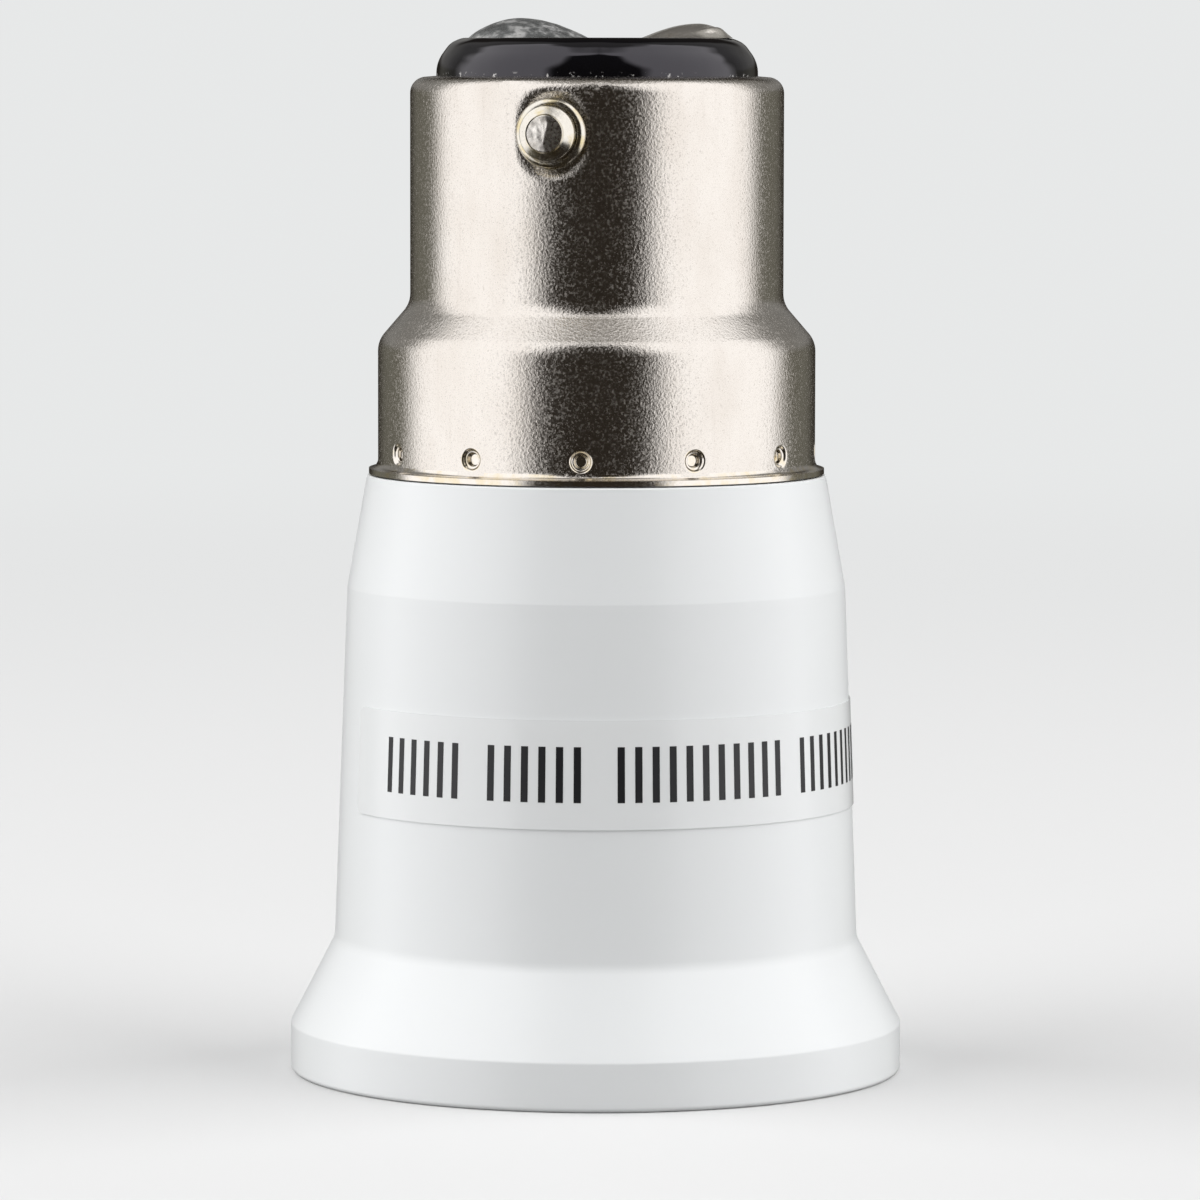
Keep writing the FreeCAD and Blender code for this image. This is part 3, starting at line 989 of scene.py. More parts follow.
@dataclass
class MetalShell(SubAssembly):
    """The drawn shell: turned-out lip, punched dimples, cone, cap, and the seats pressed for the pins."""

    lip_radius: float = 13.44
    lip_level: float = 35.70
    lip_bend: float = 0.5
    rubbed_share: float = 0.7
    shell_radius: float = 12.9
    shell_top: float = 43.19
    cap_foot: float = 45.40
    cap_radius: float = 11.0
    cone_fillet: float = 1.57
    cap_top: float = 58.75
    cap_corner: float = 0.95
    top_fall: float = 0.12
    mouth_radius: float = 9.5
    sheet: float = 0.3
    dimple_count: int = 12
    dimple_turn: float = 9.6
    dimple_level: float = 36.77
    dimple_window: float = 0.92
    dimple_worn: float = 0.67
    pin_level: float = 55.49
    seat_window: float = 3.1
    seat_flat: float = 10.77
    seat_inner: float = 1.9
    seat_outer: float = 2.85
    seat_margin: float = 0.1
    seat_steps: int = 14
    groove_radius: float = 1.7
    shank_radius: float = 1.4

    def dimple_rings(self) -> tuple[Point, ...]:
        """The (radius, depth) rings of a punched dimple: soft brow, ledge, wall and pit."""
        return (
            (0.76, 0.0), (0.70, 0.0), (0.665, 0.008), (0.63, 0.03), (0.59, 0.075), (0.55, 0.13),
            (0.51, 0.17), (0.48, 0.183), (0.43, 0.188), (0.405, 0.205), (0.39, 0.25), (0.365, 0.35),
            (0.34, 0.42), (0.31, 0.447), (0.27, 0.452), (0.15, 0.455),
        )

    def seat_rings(self) -> tuple[Point, ...]:
        """The (radius, share) rings of the flat seat pressed round a pin."""
        rings = [(self.seat_outer + self.seat_margin, 0.0)]
        for k in range(self.seat_steps + 1):
            share = k / self.seat_steps
            size = self.seat_outer + (self.seat_inner - self.seat_outer) * share
            rings.append((size, smooth_step(share)))
        return *rings, (self.groove_radius, 1.0), (self.shank_radius, 1.0)

    def build(self) -> list[bpy.types.Object]:
        """Makes the shell.

        Returns:
            The one piece.
        """
        outline = rounded([
            (self.lip_radius, self.lip_level, 0),
            (self.shell_radius, self.lip_level, self.lip_bend),
            (self.shell_radius, self.shell_top, self.cone_fillet),
            (self.cap_radius, self.cap_foot, self.cone_fillet),
            (self.cap_radius, self.cap_top - self.top_fall, self.cap_corner),
            (self.mouth_radius, self.cap_top, 0),
        ], closed=False, step=6)
        windows = []
        for index in range(self.dimple_count):
            angle = math.radians(-90 + self.dimple_turn + 360 * index / self.dimple_count) % TURN
            windows.append(Window(
                angle=angle,
                level=self.dimple_level,
                half=self.dimple_window,
                parts=10,
                rings=self.dimple_rings(),
                shut=True,
                worn=self.dimple_worn,
            ))
        for angle in (TURN / 4, 3 * TURN / 4):
            windows.append(Window(
                angle=angle,
                level=self.pin_level,
                half=self.seat_window,
                parts=18,
                rings=self.seat_rings(),
                shut=False,
                flat=self.seat_flat,
            ))
        rubbed = self.lip_level + self.lip_bend * self.rubbed_share
        lines = WindowedSkin(outline, windows, turn=2.0, rise=0.9, rubbed=rubbed)
        skin = lines.build("bayonet_shell_skin", sharp=60)
        shell = thickened(skin, self.sheet, sharp=50)
        return [self.seat(shell, Finish.nickel_shell, "bayonet_shell", more=(Finish.nickel_edge,))]


@dataclass
class Pins(SubAssembly):
    """The two bayonet pins: collar, groove, boss and a rough flattened tip."""

    level: float = 55.49
    foot: float = 10.1
    tail_radius: float = 1.75
    tail_depth: float = 0.55
    shank_radius: float = 1.3
    seat_level: float = 10.55
    collar_radius: float = 2.06
    collar_top: float = 11.60
    groove_radius: float = 1.66
    groove_level: float = 11.36
    boss_radius: float = 1.62
    boss_top: float = 12.68
    tip_radius: float = 1.05
    tip: float = 13.0
    face_radius: float = 0.8
    face_steps: int = 8
    right_slope: float = 9.0
    left_slope: float = 5.2
    ridge: float = 0.12
    ridge_bow: float = 0.14
    ridge_wave: float = 3.1
    dents: tuple[Triple, ...] = ((0.02, 2.6, 1.7), (0.008, 8.0, 5.1))

    def outline(self) -> list[Point]:
        """Half of a pin's outline, (radius, distance from the axis), from its tail out."""
        solid = rounded([
            (0, self.foot, 0),
            (self.tail_radius, self.foot, 0.2),
            (self.tail_radius, self.foot + self.tail_depth, 0),
            (self.shank_radius, self.foot + self.tail_depth, 0),
            (self.shank_radius, self.seat_level, 0),
            (self.collar_radius, self.seat_level, 0),
            (self.collar_radius, self.collar_top, 0.36),
            (self.groove_radius, self.collar_top, 0.02),
            (self.groove_radius, self.groove_level, 0),
            (self.boss_radius - 0.01, self.groove_level, 0),
            (self.boss_radius, self.boss_top - 0.36, 0.16),
            (self.tip_radius + 0.08, self.boss_top, 0.03),
            (self.tip_radius + 0.02, self.tip, 0.1),
            (self.face_radius, self.tip, 0),
        ], closed=False, guard=0.0)
        steps = range(self.face_steps - 1, -1, -1)
        return [*solid, *((self.face_radius * k / self.face_steps, self.tip) for k in steps)]

    def roughen(self, obj: bpy.types.Object) -> None:
        """Gives the tip its two facets and its hammered face.

        Args:
            obj: A pin that still stands along Z, its tip up.
        """
        for vertex in obj.data.vertices:
            x, y, z = (c / MM for c in vertex.co)
            if z < self.tip - 0.05 or math.hypot(x, y) > self.tip_radius + 0.1:
                continue
            ridge = self.ridge + self.ridge_bow * math.sin(self.ridge_wave * y)
            slope = self.right_slope if x > ridge else self.left_slope
            drop = abs(x - ridge) * math.tan(math.radians(slope))
            for depth, fineness, draw in self.dents:
                drop += depth * (0.5 + noise.noise(Vector((x * fineness, y * fineness, draw))))
            vertex.co.z -= drop * MM
        for face in obj.data.polygons:
            x, y, z = (c / MM for c in face.center)
            if z > self.tip - 0.3 and math.hypot(x, y) < self.tip_radius:
                face.material_index = 1

    def build(self) -> list[bpy.types.Object]:
        """Makes both pins.

        Returns:
            The front and the rear pin.
        """
        pins = []
        for name, side in (("front", -1), ("rear", 1)):
            pin = lathe(f"bayonet_pin_{name}_turned", self.outline(), columns=72, closed=False, sharp=30)
            self.roughen(pin)
            stand = Matrix.Translation((0, 0, self.level * MM)) @ Matrix.Rotation(math.radians(90), 4, "X")
            if side > 0:
                stand = Matrix.Rotation(math.pi, 4, "Z") @ stand
            pin.data.transform(stand)
            pins.append(self.seat(pin, Finish.nickel_pin, f"bayonet_pin_{name}", more=(Finish.pin_tip,)))
        return pins


@dataclass
class CapEnd(SubAssembly):
    """The black glass in the cap's end, and the two domes of solder on it."""

    depth: float = 4.6
    cap_top: float = 58.75
    rim_under: float = 58.41
    rim_round: float = 0.7
    glass_radius: float = 10.66
    neck_radius: float = 9.46
    side_height: float = 0.81
    side_round: float = 2.0
    shoulder_radius: float = 8.64
    shoulder_drop: float = 0.30
    shoulder_round: float = 1.2
    top_radius: float = 7.95
    top: float = 60.98

    def build(self) -> list[bpy.types.Object]:
        """Makes the glass and the domes.

        Returns:
            The three pieces.
        """
        outline = rounded([
            (0, self.cap_top - self.depth, 0),
            (self.glass_radius, self.cap_top - self.depth, 0),
            (self.glass_radius, self.rim_under, self.rim_round),
            (self.neck_radius, self.rim_under, 0),
            (self.neck_radius, self.cap_top + self.side_height, self.side_round),
            (self.shoulder_radius, self.top - self.shoulder_drop, self.shoulder_round),
            (self.top_radius, self.top, self.shoulder_round),
            (0, self.top, 0),
        ], closed=False, step=5)
        glass = lathe("glass_cast", outline, columns=180, closed=False)
        pieces = [self.seat(glass, Finish.black_glass, "glass_insulator")]
        left = Dome(
            middle=-4.15, radius=3.54, height=1.175, peak=-4.65, left_fall=0.87, right_fall=1.05, lumps=0.03
        )
        right = Dome(
            middle=5.4, radius=2.71, height=0.85, peak=6.1, left_fall=1.15, right_fall=1.05, lumps=0.005,
            crease=0.17,
        )
        for name, dome, finish in (
            ("left", left, Finish.dull_solder),
            ("right", right, Finish.bright_solder),
        ):
            mesh = dome.mesh(f"solder_dome_{name}_set", self.top)
            pieces.append(self.seat(mesh, finish, f"solder_dome_{name}"))
        return pieces


@dataclass(frozen=True)
class Dome:
    """A dome of solder: a round foot, and a peak to one side of its middle.

    A crease is a low ridge down its side, at an angle and at a share of the way to its foot.
    """

    middle: float
    radius: float
    height: float
    peak: float
    left_fall: float
    right_fall: float
    lumps: float
    lump_fineness: float = 1.3
    lump_draw: float = 3.0
    lump_sink: float = 0.6
    crease: float = 0.0
    crease_turn: float = 0.55
    crease_place: float = 0.68
    crease_width: float = 0.14
    spokes: int = 96
    rings: int = 28

    def mesh(self, name: str, foot: float) -> bpy.types.Object:
        """Makes the dome.

        Args:
            name: The piece's name.
            foot: The height that it stands on, in millimetres.

        Returns:
            The object.
        """
        offset = self.peak - self.middle
        vertices = [(self.peak, 0.0, foot + self.height)]
        for k in range(1, self.rings + 1):
            share = math.sin(k / self.rings * math.pi / 2)
            for i in range(self.spokes):
                angle = TURN * i / self.spokes
                ahead = -offset * math.cos(angle)
                reach = ahead + math.sqrt(ahead ** 2 + self.radius ** 2 - offset ** 2)
                x = self.peak + share * reach * math.cos(angle)
                y = share * reach * math.sin(angle)
                vertices.append((x, y, foot + max(self.rise(x, y, angle, share, foot), 0.0)))
        faces: list[Face] = [(0, 1 + i, 1 + (i + 1) % self.spokes) for i in range(self.spokes)]
        faces += bands(self.rings, self.spokes, loop=True, base=1)
        faces.append(tuple(range(len(vertices) - self.spokes, len(vertices))))
        return made_mesh(name, vertices, faces)

    def rise(self, x: float, y: float, angle: float, share: float, foot: float) -> float:
        """The height above the foot.

        Args:
            x: The place along X, in millimetres.
            y: The place along Y.
            angle: The angle round the peak.
            share: The share of the way from the peak to the edge.
            foot: The height that the dome stands on.

        Returns:
            The height, in millimetres.
        """
        fall = (self.left_fall + self.right_fall) / 2
        fall += (self.right_fall - self.left_fall) / 2 * math.cos(angle)
        rise = self.height * (1 - share * share) ** fall
        place = Vector((x * self.lump_fineness, y * self.lump_fineness, self.lump_draw + foot))
        lump = self.lumps * (noise.noise(place) - self.lump_sink)
        rise += lump * (1 - share ** 6) * smooth_step(share * 3)
        facing = max(math.cos(angle + self.crease_turn), 0.0) ** 2
        off = (share - self.crease_place) / self.crease_width
        return rise + self.crease * facing * math.exp(-off ** 2)


@dataclass
class LampSocket(SubAssembly):
    """The screw shell inside the skirt, with its rolled thread and its two ears."""

    pitch: float = 25.4 / 7
    major_radius: float = 13.3
    thread_depth: float = 1.1
    sheet: float = 0.3
    foot: float = 6.6
    collar: float = 1.5
    neck_foot: float = 24.4
    base_inner: float = 12.7
    floor_under: float = 28.4
    ring_width: float = 1.7
    ear_width: float = 5.2
    ear_end: float = 7.1
    ear_overlap: float = 0.15
    ear_ease: float = 0.01
    ear_round: float = 0.08
    thread_ease: float = 0.1
    columns: int = 144
    rows: int = 110

    def wave(self, level: float, turn: float) -> float:
        """The inner face's radius where the thread is full, from tangent arcs of one bend."""
        bend = (self.pitch ** 2 / 4 + self.thread_depth ** 2) / (4 * self.thread_depth)
        away = abs((level - self.pitch * turn / TURN + self.pitch / 2) % self.pitch - self.pitch / 2)
        if away < self.pitch / 4:
            return self.major_radius - self.thread_depth + bend - math.sqrt(bend ** 2 - away ** 2)
        away = self.pitch / 2 - away
        return self.major_radius - bend + math.sqrt(bend ** 2 - away ** 2)

    def radius(self, level: float, turn: float) -> float:
        """The inner face's radius at a height and angle, with the thread fading at both ends."""
        rise = smooth_step((level - self.foot - self.collar) / self.pitch + self.thread_ease)
        fall = smooth_step((self.neck_foot - level) / self.pitch + self.thread_ease)
        share = smooth_step((level - self.neck_foot) / (self.major_radius - self.base_inner))
        plain = self.major_radius + (self.base_inner - self.major_radius) * share
        return plain + (self.wave(level, turn) - plain) * rise * fall

    def build(self) -> list[bpy.types.Object]:
        """Makes the rolled shell and its ears.

        Returns:
            The two pieces.
        """
        ceiling = self.floor_under - self.sheet
        height = ceiling - self.sheet - self.foot
        levels = [self.foot + height * j / self.rows for j in range(self.rows + 1)]
        vertices = []
        for i in range(self.columns):
            turn = TURN * i / self.columns
            ring = [(self.radius(level, turn), level) for level in levels]
            ring += rounded([
                (self.base_inner, ceiling - self.sheet, 0),
                (self.base_inner, ceiling, self.sheet),
                (self.base_inner - self.ring_width, ceiling, 0),
            ], closed=False, guard=0.0)[1:]
            vertices.extend((r * math.cos(turn), r * math.sin(turn), z) for r, z in ring)
        faces = bands(self.columns, len(vertices) // self.columns, ring=True)
        skin = made_mesh("screw_shell_rolled", vertices, faces, outward=False)
        shell = thickened(skin, self.sheet)
        ears = self.ears(ceiling)
        return [self.seat(shell, Finish.nickel_screw, "screw_shell"), self.seat(ears, Finish.nickel_screw)]

    def ears(self, ceiling: float) -> bpy.types.Object:
        """The two ears that the rivets hold.

        Args:
            ceiling: The height of their under faces.

        Returns:
            The piece.
        """
        start = self.base_inner - self.ring_width + self.ear_overlap
        foot, top = ceiling + self.ear_ease, self.floor_under - self.ear_ease
        work = bmesh.new()
        for side in (-1, 1):
            low, high = sorted((side * self.ear_end, side * start))
            for vertex in bmesh.ops.create_cube(work, size=1)["verts"]:
                vertex.co.x *= self.ear_width
                vertex.co.y = low if vertex.co.y < 0 else high
                vertex.co.z = foot if vertex.co.z < 0 else top
        edges = list(work.edges)
        bmesh.ops.bevel(work, geom=edges, offset=self.ear_round, segments=2, affect="EDGES", profile=0.5)
        vertices = [tuple(v.co) for v in work.verts]
        faces = [[v.index for v in f.verts] for f in work.faces]
        work.free()
        return made_mesh("screw_shell_ears", vertices, faces)


@dataclass
class CentreContact(SubAssembly):
    """The sprung strip that meets the lamp's end, bent from one length."""

    width: float = 5.0
    thickness: float = 0.4
    corner: float = 1.5
    foot_end: float = 7.2
    foot_start: float = 2.9
    level: float = 28.4
    low_x: float = -1.4
    low_z: float = 24.8
    tip_x: float = -3.3
    tip_z: float = 26.1
    bend_start: float = 3.4
    bend_end: float = 1.8
    lanes: int = 14
    places: int = 90

    def build(self) -> list[bpy.types.Object]:
        """Makes the strip along its bent path.

        Returns:
            The one piece.
        """
        path = rounded([
            (self.foot_end, self.level, 0),
            (self.foot_start, self.level, 1.6),
            (self.low_x, self.low_z, 1.2),
            (self.tip_x, self.tip_z, 0),
        ], closed=False, step=6, guard=0.0)
        stations = self.stations(path)
        total = stations[-1][2]
        vertices = []
        for x, z, length in stations:
            end = min(length, total - length)
            inset = 0.0
            if end < self.corner:
                inset = self.corner - math.sqrt(self.corner ** 2 - (self.corner - end) ** 2)
            half = self.width / 2 - inset
            vertices.extend((x, half * (2 * k / self.lanes - 1), z) for k in range(self.lanes + 1))
        faces = bands(len(stations), self.lanes + 1)
        strip = made_mesh("centre_contact_strip", vertices, faces, outward=False)
        if strip.data.polygons[0].normal.z < 0:
            strip.data.flip_normals()
        thickened(strip, self.thickness)
        self.paintbox.dress(strip, Finish.bronze_strip)
        middle = self.level * MM
        start, end = (self.bend_start * MM, 0, middle), (self.bend_end * MM, 0, middle)
        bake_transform(strip)
        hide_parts("centre_contact")
        return [strip]

    def stations(self, path: Sequence[Point]) -> list[Triple]:
        """Evenly spaced places along a path.

        Args:
            path: The path's (x, z) points.

        Returns:
            (x, z, length so far) of each place.
        """
        points = np.array(path)
        along = np.concatenate(([0.0], np.cumsum(np.linalg.norm(np.diff(points, axis=0), axis=1))))
        lengths = np.linspace(0.0, along[-1], self.places)
        across, up = (np.interp(lengths, along, points[:, k]) for k in (0, 1))
        return [(float(x), float(z), float(length)) for x, z, length in zip(across, up, lengths)]


@dataclass
class Label(SubAssembly):
    """The clear film round the barrel, with plain bars where its print was."""

    housing: Housing
    foot: float = 15.87
    height: float = 6.24
    start: float = -142.4
    wrap: float = 166.0
    corner: float = 0.6
    gap: float = 0.03
    film: float = 0.06
    ink: float = 0.008
    ink_gap: float = 0.002
    bar_foot: float = 1.55
    bar_height: float = 3.2
    groups: tuple[Point, ...] = ((13.5, 34.5), (41.8, 62.8), (70.7, 110.6), (117.3, 154.0))
    bar_width: float = 0.42
    bar_pitch: float = 1.0
    step: float = 1.5
    corner_steps: int = 8

    def place(self, turn: float, level: float, proud: float) -> Triple:
        """A place on the barrel.

        Args:
            turn: The angle from the film's left end, in degrees.
            level: The height above the film's foot.
            proud: How far outside the barrel it lies.

        Returns:
            The point, in millimetres.
        """
        angle = math.radians(self.start + turn)
        radius = self.housing.barrel_radius(self.foot + level) + proud
        return radius * math.cos(angle), radius * math.sin(angle), self.foot + level

    def patch(
        self, name: str, spans: Sequence[Span], corner: float, proud: float, sheet: float
    ) -> bpy.types.Object:
        """Thin patches that follow the barrel.

        Args:
            name: The piece's name.
            spans: Each patch's first and last angle, foot and top.
            corner: The rounding of their corners.
            proud: How far outside the barrel they start.
            sheet: Their thickness.

        Returns:
            The object.
        """
        vertices: list[Sequence[float]] = []
        faces: list[Face] = []
        for first, last, foot, top in spans:
            columns = max(2, math.ceil((last - first) / self.step))
            levels = {foot, top, (foot + top) / 2}
            if corner:
                for k in range(self.corner_steps + 1):
                    rise = corner * (1 - math.cos(k / self.corner_steps * math.pi / 2))
                    levels |= {foot + rise, top - rise}
            base = len(vertices)
            rows = sorted(levels)
            for level in rows:
                near = min(level - foot, top - level)
                inset = corner - math.sqrt(corner ** 2 - (corner - near) ** 2) if near < corner else 0.0
                inset = math.degrees(inset / self.housing.barrel_radius(self.foot))
                for i in range(columns + 1):
                    turn = first + inset + (last - first - 2 * inset) * i / columns
                    vertices.append(self.place(turn, level, proud))
            faces += bands(len(rows), columns + 1, base=base)
        skin = made_mesh(name, vertices, faces, outward=False)
        return thickened(skin, sheet, inward=False)

    def bars(self) -> list[Span]:
        """The bars of each group, as (first angle, last angle, foot, top)."""
        radius = self.housing.barrel_radius(self.foot)
        wide, pitch = math.degrees(self.bar_width / radius), math.degrees(self.bar_pitch / radius)
        spans = []
        for first, last in self.groups:
            count = round((last - first - wide) / pitch)
            step = (last - first - wide) / count
            for k in range(count + 1):
                turn = first + k * step
                spans.append((turn, turn + wide, self.bar_foot, self.bar_foot + self.bar_height))
        return spans

    def build(self) -> list[bpy.types.Object]:
        """Makes the film and the bars on it.

        Returns:
            The two pieces.
        """
        whole = [(0.0, self.wrap, 0.0, self.height)]
        film = self.patch("label_film_clear", whole, self.corner, self.gap, self.film)
        bars = self.patch("label_bars", self.bars(), 0.0, self.gap + self.film + self.ink_gap, self.ink)
        return [self.seat(film, Finish.clear_film, "label_film"), self.seat(bars, Finish.black_ink)]


@dataclass
class InnerParts(SubAssembly):
    """The solids that stay as they are: plates, rivets, tags, wires and their solder."""

    def build(self) -> list[bpy.types.Object]:
        """Dresses the solids that no piece stands for.

        Returns:
            The solids.
        """
        slots = {part["node"]: part["material_slot"] for part in frame["record"]["subparts"]}
        dressed = []
        for name, node in frame["nodes"].items():
            if not node.hide_render:
                self.paintbox.dress(node, Finish[slots[name]])
                dressed.append(node)
        return dressed


# The studio


@dataclass(frozen=True)
class Reflections:
    """A dome that only reflections see: a softbox at each side, and dark between and behind them.

    A turn is an angle from the camera's direction, in degrees, and a level is a share of the dome's
    radius. A slope is a height for each unit of width. Each pair of them says where something begins and
    where it is full.
    """

    radius: float = 1.6
    centre: float = 0.045
    aside: float = 1.2
    bright: Colour = (1.35, 1.33, 1.34)
    front: Colour = (0.028, 0.023, 0.018)
    rear: Colour = (0.16, 0.155, 0.13)
    above: Colour = (0.24, 0.23, 0.215)
    back_light: Colour = (0.24, 0.235, 0.225)
    inner_turns: Point = (29.0, 42.0)
    outer_turns: Point = (119.0, 106.0)
    closing: float = 9.0
    closing_levels: Point = (0.20, 0.70)
    arch: float = 28.0
    arch_levels: Point = (0.84, 0.94)
    leaning: float = -11.0
    leaning_levels: Point = (0.35, 0.60)
    top_levels: Point = (0.975, 0.925)
    foot_slopes: Point = (-0.85, -0.45)
    rear_turns: Point = (80.0, 110.0)
    straight_turns: Point = (146.0, 162.0)
    above_levels: Point = (0.90, 0.985)
    back_turns: Point = (100.0, 128.0)
    back_levels: Point = (0.06, 0.16)
    back_end_levels: Point = (0.22, 0.40)

    def build(self, view_turn: float) -> None:
        """Sets the dome round the object.

        Args:
            view_turn: The camera's direction, in degrees from the front.
        """
        work = bmesh.new()
        bmesh.ops.create_icosphere(work, subdivisions=4, radius=self.radius)
        mesh = bpy.data.meshes.new("dome")
        work.to_mesh(mesh)
        work.free()
        mesh.materials.append(self.material())
        obj = bpy.data.objects.new("dome", mesh)
        obj.location.z = self.centre
        obj.rotation_euler.z = math.radians(view_turn)
        obj.visible_camera = False
        obj.visible_diffuse = False
        obj.visible_shadow = False
        obj.visible_transmission = False
        bpy.context.scene.collection.objects.link(obj)

    def material(self) -> bpy.types.Material:
        """The dome's glow, worked out from the direction seen from the object."""
        nodes = Glow("dome_glow")
        x, y, z = (nodes.axis(name) for name in "XYZ")
        turn = nodes.math("ARCTAN2", x, nodes.math("MULTIPLY", y, -1.0))
        turn = nodes.math("ABSOLUTE", nodes.math("ADD", turn, math.radians(self.aside)))
        level = nodes.math("DIVIDE", z, self.radius)

        def by_turn(ends: Point, *shifts: bpy.types.NodeSocket) -> bpy.types.NodeSocket:
            """0 to 1 between two turns, each shifted by some angles."""
            place = reduce(lambda first, second: nodes.math("ADD", first, second), shifts, turn)
            return nodes.span(place, math.radians(ends[0]), math.radians(ends[1]), soft=True)

        def by_level(ends: Point, angle: float = 0.0) -> bpy.types.NodeSocket:
            """0 to 1 between two levels, or to an angle."""
            share = nodes.span(level, *ends, soft=True)
            return nodes.product(share, math.radians(angle)) if angle else share

        closing = by_level(self.closing_levels, self.closing)
        inner = by_turn(self.inner_turns, closing, by_level(self.arch_levels, self.arch))
        outer = by_turn(self.outer_turns, by_level(self.leaning_levels, self.leaning))
        slope = nodes.math("DIVIDE", z, nodes.math("MAXIMUM", nodes.math("ABSOLUTE", x), 0.001))
        foot = nodes.span(slope, *self.foot_slopes, soft=True)
        boxes = nodes.product(inner, outer, by_level(self.top_levels), foot)
        straight = by_turn(self.straight_turns)
        shade = nodes.math("SUBTRACT", 1.0, nodes.product(straight, by_level(self.back_end_levels)))
        back = nodes.product(by_level(self.back_levels), by_turn(self.back_turns), shade)
        colour = nodes.mix(self.front, self.rear, by_turn(self.rear_turns))
        for over, share in (
            (self.front, straight),
            (self.back_light, back),
            (self.above, by_level(self.above_levels)),
            (self.bright, boxes),
        ):
            colour = nodes.mix(colour, over, share)
        nodes.put(nodes.shine(colour), nodes.surface)
        return nodes.material


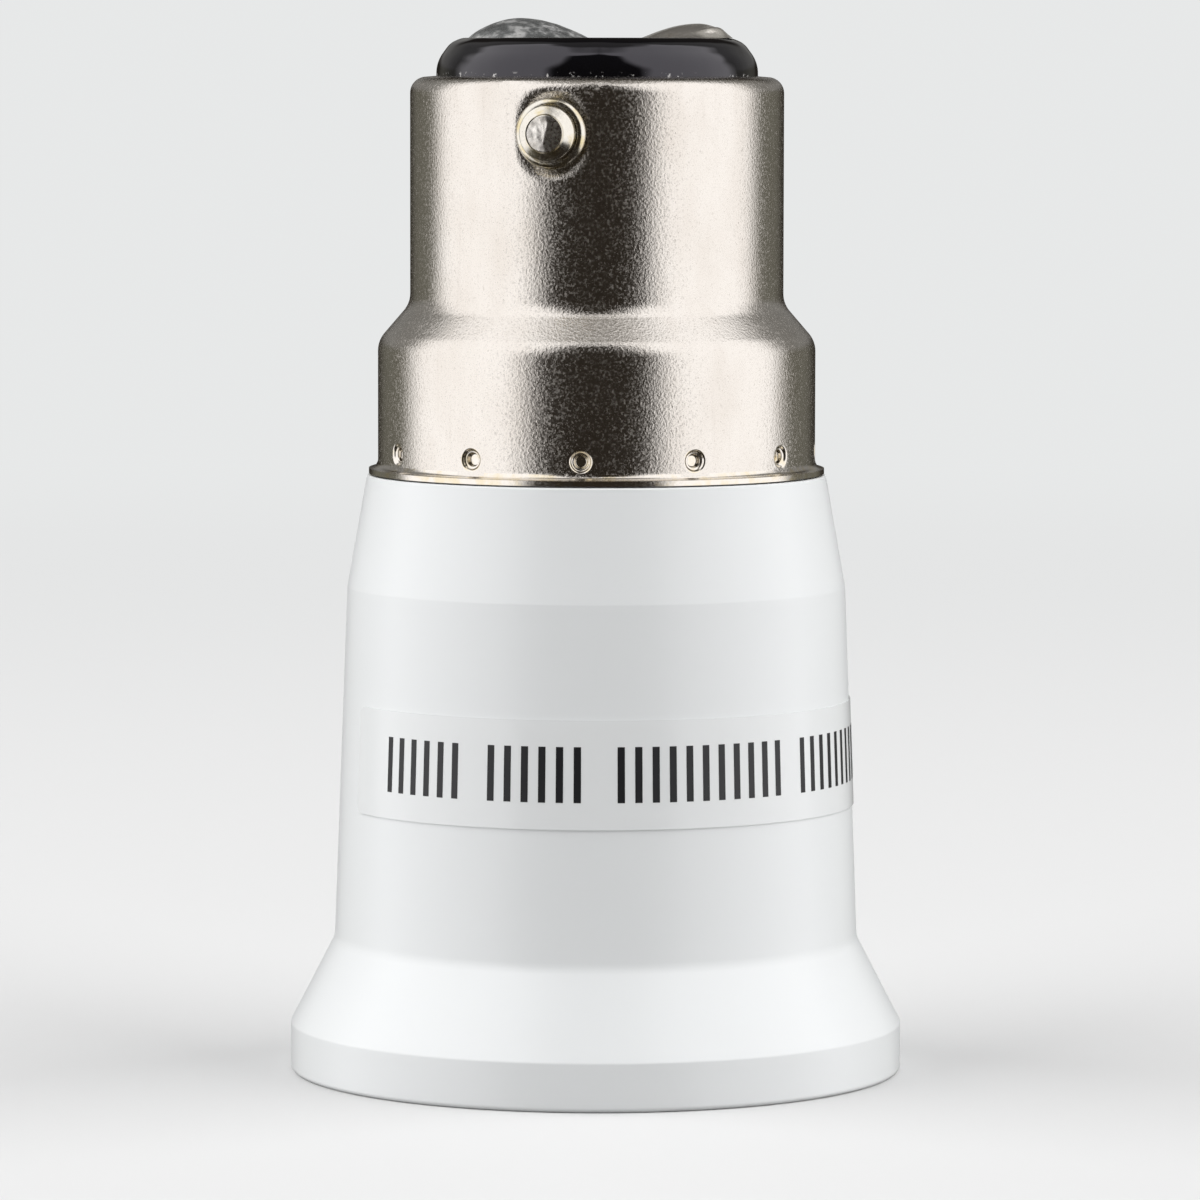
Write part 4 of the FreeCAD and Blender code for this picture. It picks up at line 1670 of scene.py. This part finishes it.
@dataclass
class Studio:
    """The camera, the lamps, a pale floor and surroundings, and the dome of reflections."""

    view_turn: float = 13.6
    camera_distance: float = 0.39693
    camera_height: float = 0.05969
    camera_pitch: float = 4.588
    camera_roll: float = 0.1
    camera_aside: float = 0.00022
    lens: float = 201.86
    lamp_turn: float = 79.0
    lamp_distance: float = 0.7
    lamp_width: float = 1.32
    lamp_height: float = 1.7
    lamp_light: float = 2.22
    top_level: float = 1.3
    top_size: Point = (1.5, 1.5)
    top_light: float = 0.62
    rim_turn: float = 136.0
    rim_distance: float = 0.85
    rim_level: float = 0.45
    rim_size: Point = (0.8, 0.9)
    rim_light: float = 0.45
    pale: Colour = (0.80, 0.81, 0.81)
    floor_tone: float = 0.72
    floor_bounce: float = 0.38
    pale_light: float = 0.08
    floor_radius: float = 6.0
    floor_sides: int = 96
    floor_fade: Point = (0.10, 0.60)

    def toward(self, turn: float) -> Vector:
        """The level direction at an angle from the camera's, seen from above."""
        angle = math.radians(self.view_turn + turn)
        return Vector((math.sin(angle), -math.cos(angle), 0.0))

    def camera(self) -> None:
        """Sets the camera at the photograph's place."""
        data = bpy.data.cameras.new("camera")
        data.sensor_width = 36.0
        data.lens = self.lens
        data.clip_start = 0.01
        data.clip_end = 20.0
        obj = bpy.data.objects.new("camera", data)
        aside = Vector((0, 0, 1)).cross(self.toward(0)) * self.camera_aside
        obj.location = self.toward(0) * self.camera_distance + Vector((0, 0, self.camera_height)) + aside
        level = Matrix.Rotation(math.radians(self.view_turn), 4, "Z")
        pitch = Matrix.Rotation(math.radians(90 - self.camera_pitch), 4, "X")
        roll = Matrix.Rotation(math.radians(self.camera_roll), 4, "Z")
        obj.rotation_euler = (level @ pitch @ roll).to_euler()
        bpy.context.scene.collection.objects.link(obj)
        bpy.context.scene.camera = obj

    def lamp(self, name: str, centre: Vector, aim: Vector, size: Point, light: float) -> None:
        """A soft lamp that lights the object, but that neither the camera nor a reflection sees.

        Args:
            name: Its name.
            centre: Its middle.
            aim: The way it shines.
            size: Its width and height, in metres.
            light: Its brightness, where 1 is white.
        """
        data = bpy.data.lights.new(name, "AREA")
        data.shape = "RECTANGLE"
        data.size, data.size_y = size
        data.energy = light * math.pi * size[0] * size[1]
        obj = bpy.data.objects.new(name, data)
        obj.location = centre
        obj.rotation_euler = aim.to_track_quat("-Z", "Y").to_euler()
        obj.visible_camera = False
        obj.visible_glossy = False
        bpy.context.scene.collection.objects.link(obj)

    def lamps(self) -> None:
        """Sets the two tall lamps, two weak ones behind them and the one above."""
        size = (self.lamp_width, self.lamp_height)
        for name, side in (("left", -1), ("right", 1)):
            out = self.toward(side * self.lamp_turn)
            centre = out * self.lamp_distance + Vector((0, 0, self.lamp_height / 2))
            self.lamp(f"lamp_{name}", centre, -out, size, self.lamp_light)
            out = self.toward(side * self.rim_turn)
            centre = out * self.rim_distance + Vector((0, 0, self.rim_level))
            self.lamp(f"rim_{name}", centre, -out, self.rim_size, self.rim_light)
        above, down = Vector((0, 0, self.top_level)), Vector((0, 0.001, -1))
        self.lamp("lamp_above", above, down, self.top_size, self.top_light)

    def surroundings(self) -> None:
        """Pale surroundings, which the camera sees brighter than they shine."""
        world = bpy.data.worlds.new("surroundings")
        bpy.context.scene.world = world
        world.use_nodes = True
        nodes = Nodes(world.node_tree)
        back = world.node_tree.nodes["Background"]
        nodes.put(self.pale, back.inputs["Color"])
        nodes.put(nodes.span(nodes.seen(), 0.0, 1.0, self.pale_light, 1.0), back.inputs["Strength"])

    def floor(self) -> None:
        """The floor, a disc that fades into the surroundings far from the object."""
        mesh = bpy.data.meshes.new("floor")
        radius = self.floor_radius
        turns = [TURN * k / self.floor_sides for k in range(self.floor_sides)]
        rim = [(radius * math.cos(turn), radius * math.sin(turn), 0.0) for turn in turns]
        mesh.from_pydata(rim, [], [tuple(range(self.floor_sides))])
        mesh.materials.append(self.floor_material())
        obj = bpy.data.objects.new("floor", mesh)
        obj.visible_glossy = False
        bpy.context.scene.collection.objects.link(obj)

    def floor_material(self) -> bpy.types.Material:
        """Matt, and brighter to the camera than its bounce; far off, it glows like the surroundings."""
        nodes = Glow("pale_floor")
        x, y = nodes.axis("X"), nodes.axis("Y")
        away = nodes.math("SQRT", nodes.math("ADD", nodes.product(x, x), nodes.product(y, y)))
        shown = nodes.seen()
        dim, pale = ((tone, tone, tone) for tone in (self.floor_bounce, self.floor_tone))
        matt = nodes.add("BsdfDiffuse", "BSDF", Color=nodes.mix(dim, pale, shown))
        glow = nodes.shine(nodes.mix((0.0, 0.0, 0.0), self.pale, shown))
        floor = nodes.add("MixShader", "Shader", Fac=nodes.span(away, *self.floor_fade, soft=True))
        for shader, socket in zip((matt, glow), floor.node.inputs[1:]):
            nodes.put(shader, socket)
        nodes.put(floor, nodes.surface)
        return nodes.material

    def build(self) -> None:
        """Sets up the picture."""
        bpy.context.scene.view_settings.view_transform = "Standard"
        self.camera()
        self.lamps()
        Reflections().build(self.view_turn)
        self.surroundings()
        self.floor()


def main() -> None:
    """Builds the adapter's pieces and the studio."""
    logging.basicConfig(level=logging.INFO, format="%(message)s")
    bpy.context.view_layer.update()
    paintbox = Paintbox()
    housing = Housing(paintbox)
    assemblies: list[SubAssembly] = [
        housing,
        MetalShell(paintbox),
        Pins(paintbox),
        CapEnd(paintbox),
        LampSocket(paintbox),
        CentreContact(paintbox),
        Label(paintbox, housing),
        InnerParts(paintbox),
    ]
    total = 0
    for assembly in assemblies:
        for piece in assembly.build():
            count = sum(len(polygon.vertices) - 2 for polygon in piece.data.polygons)
            total += count
            log.info("%s: %s, %d triangles", type(assembly).__name__, piece.name, count)
    log.info("all pieces: %d triangles", total)
    Studio().build()


if __name__ == "__main__":
    main()
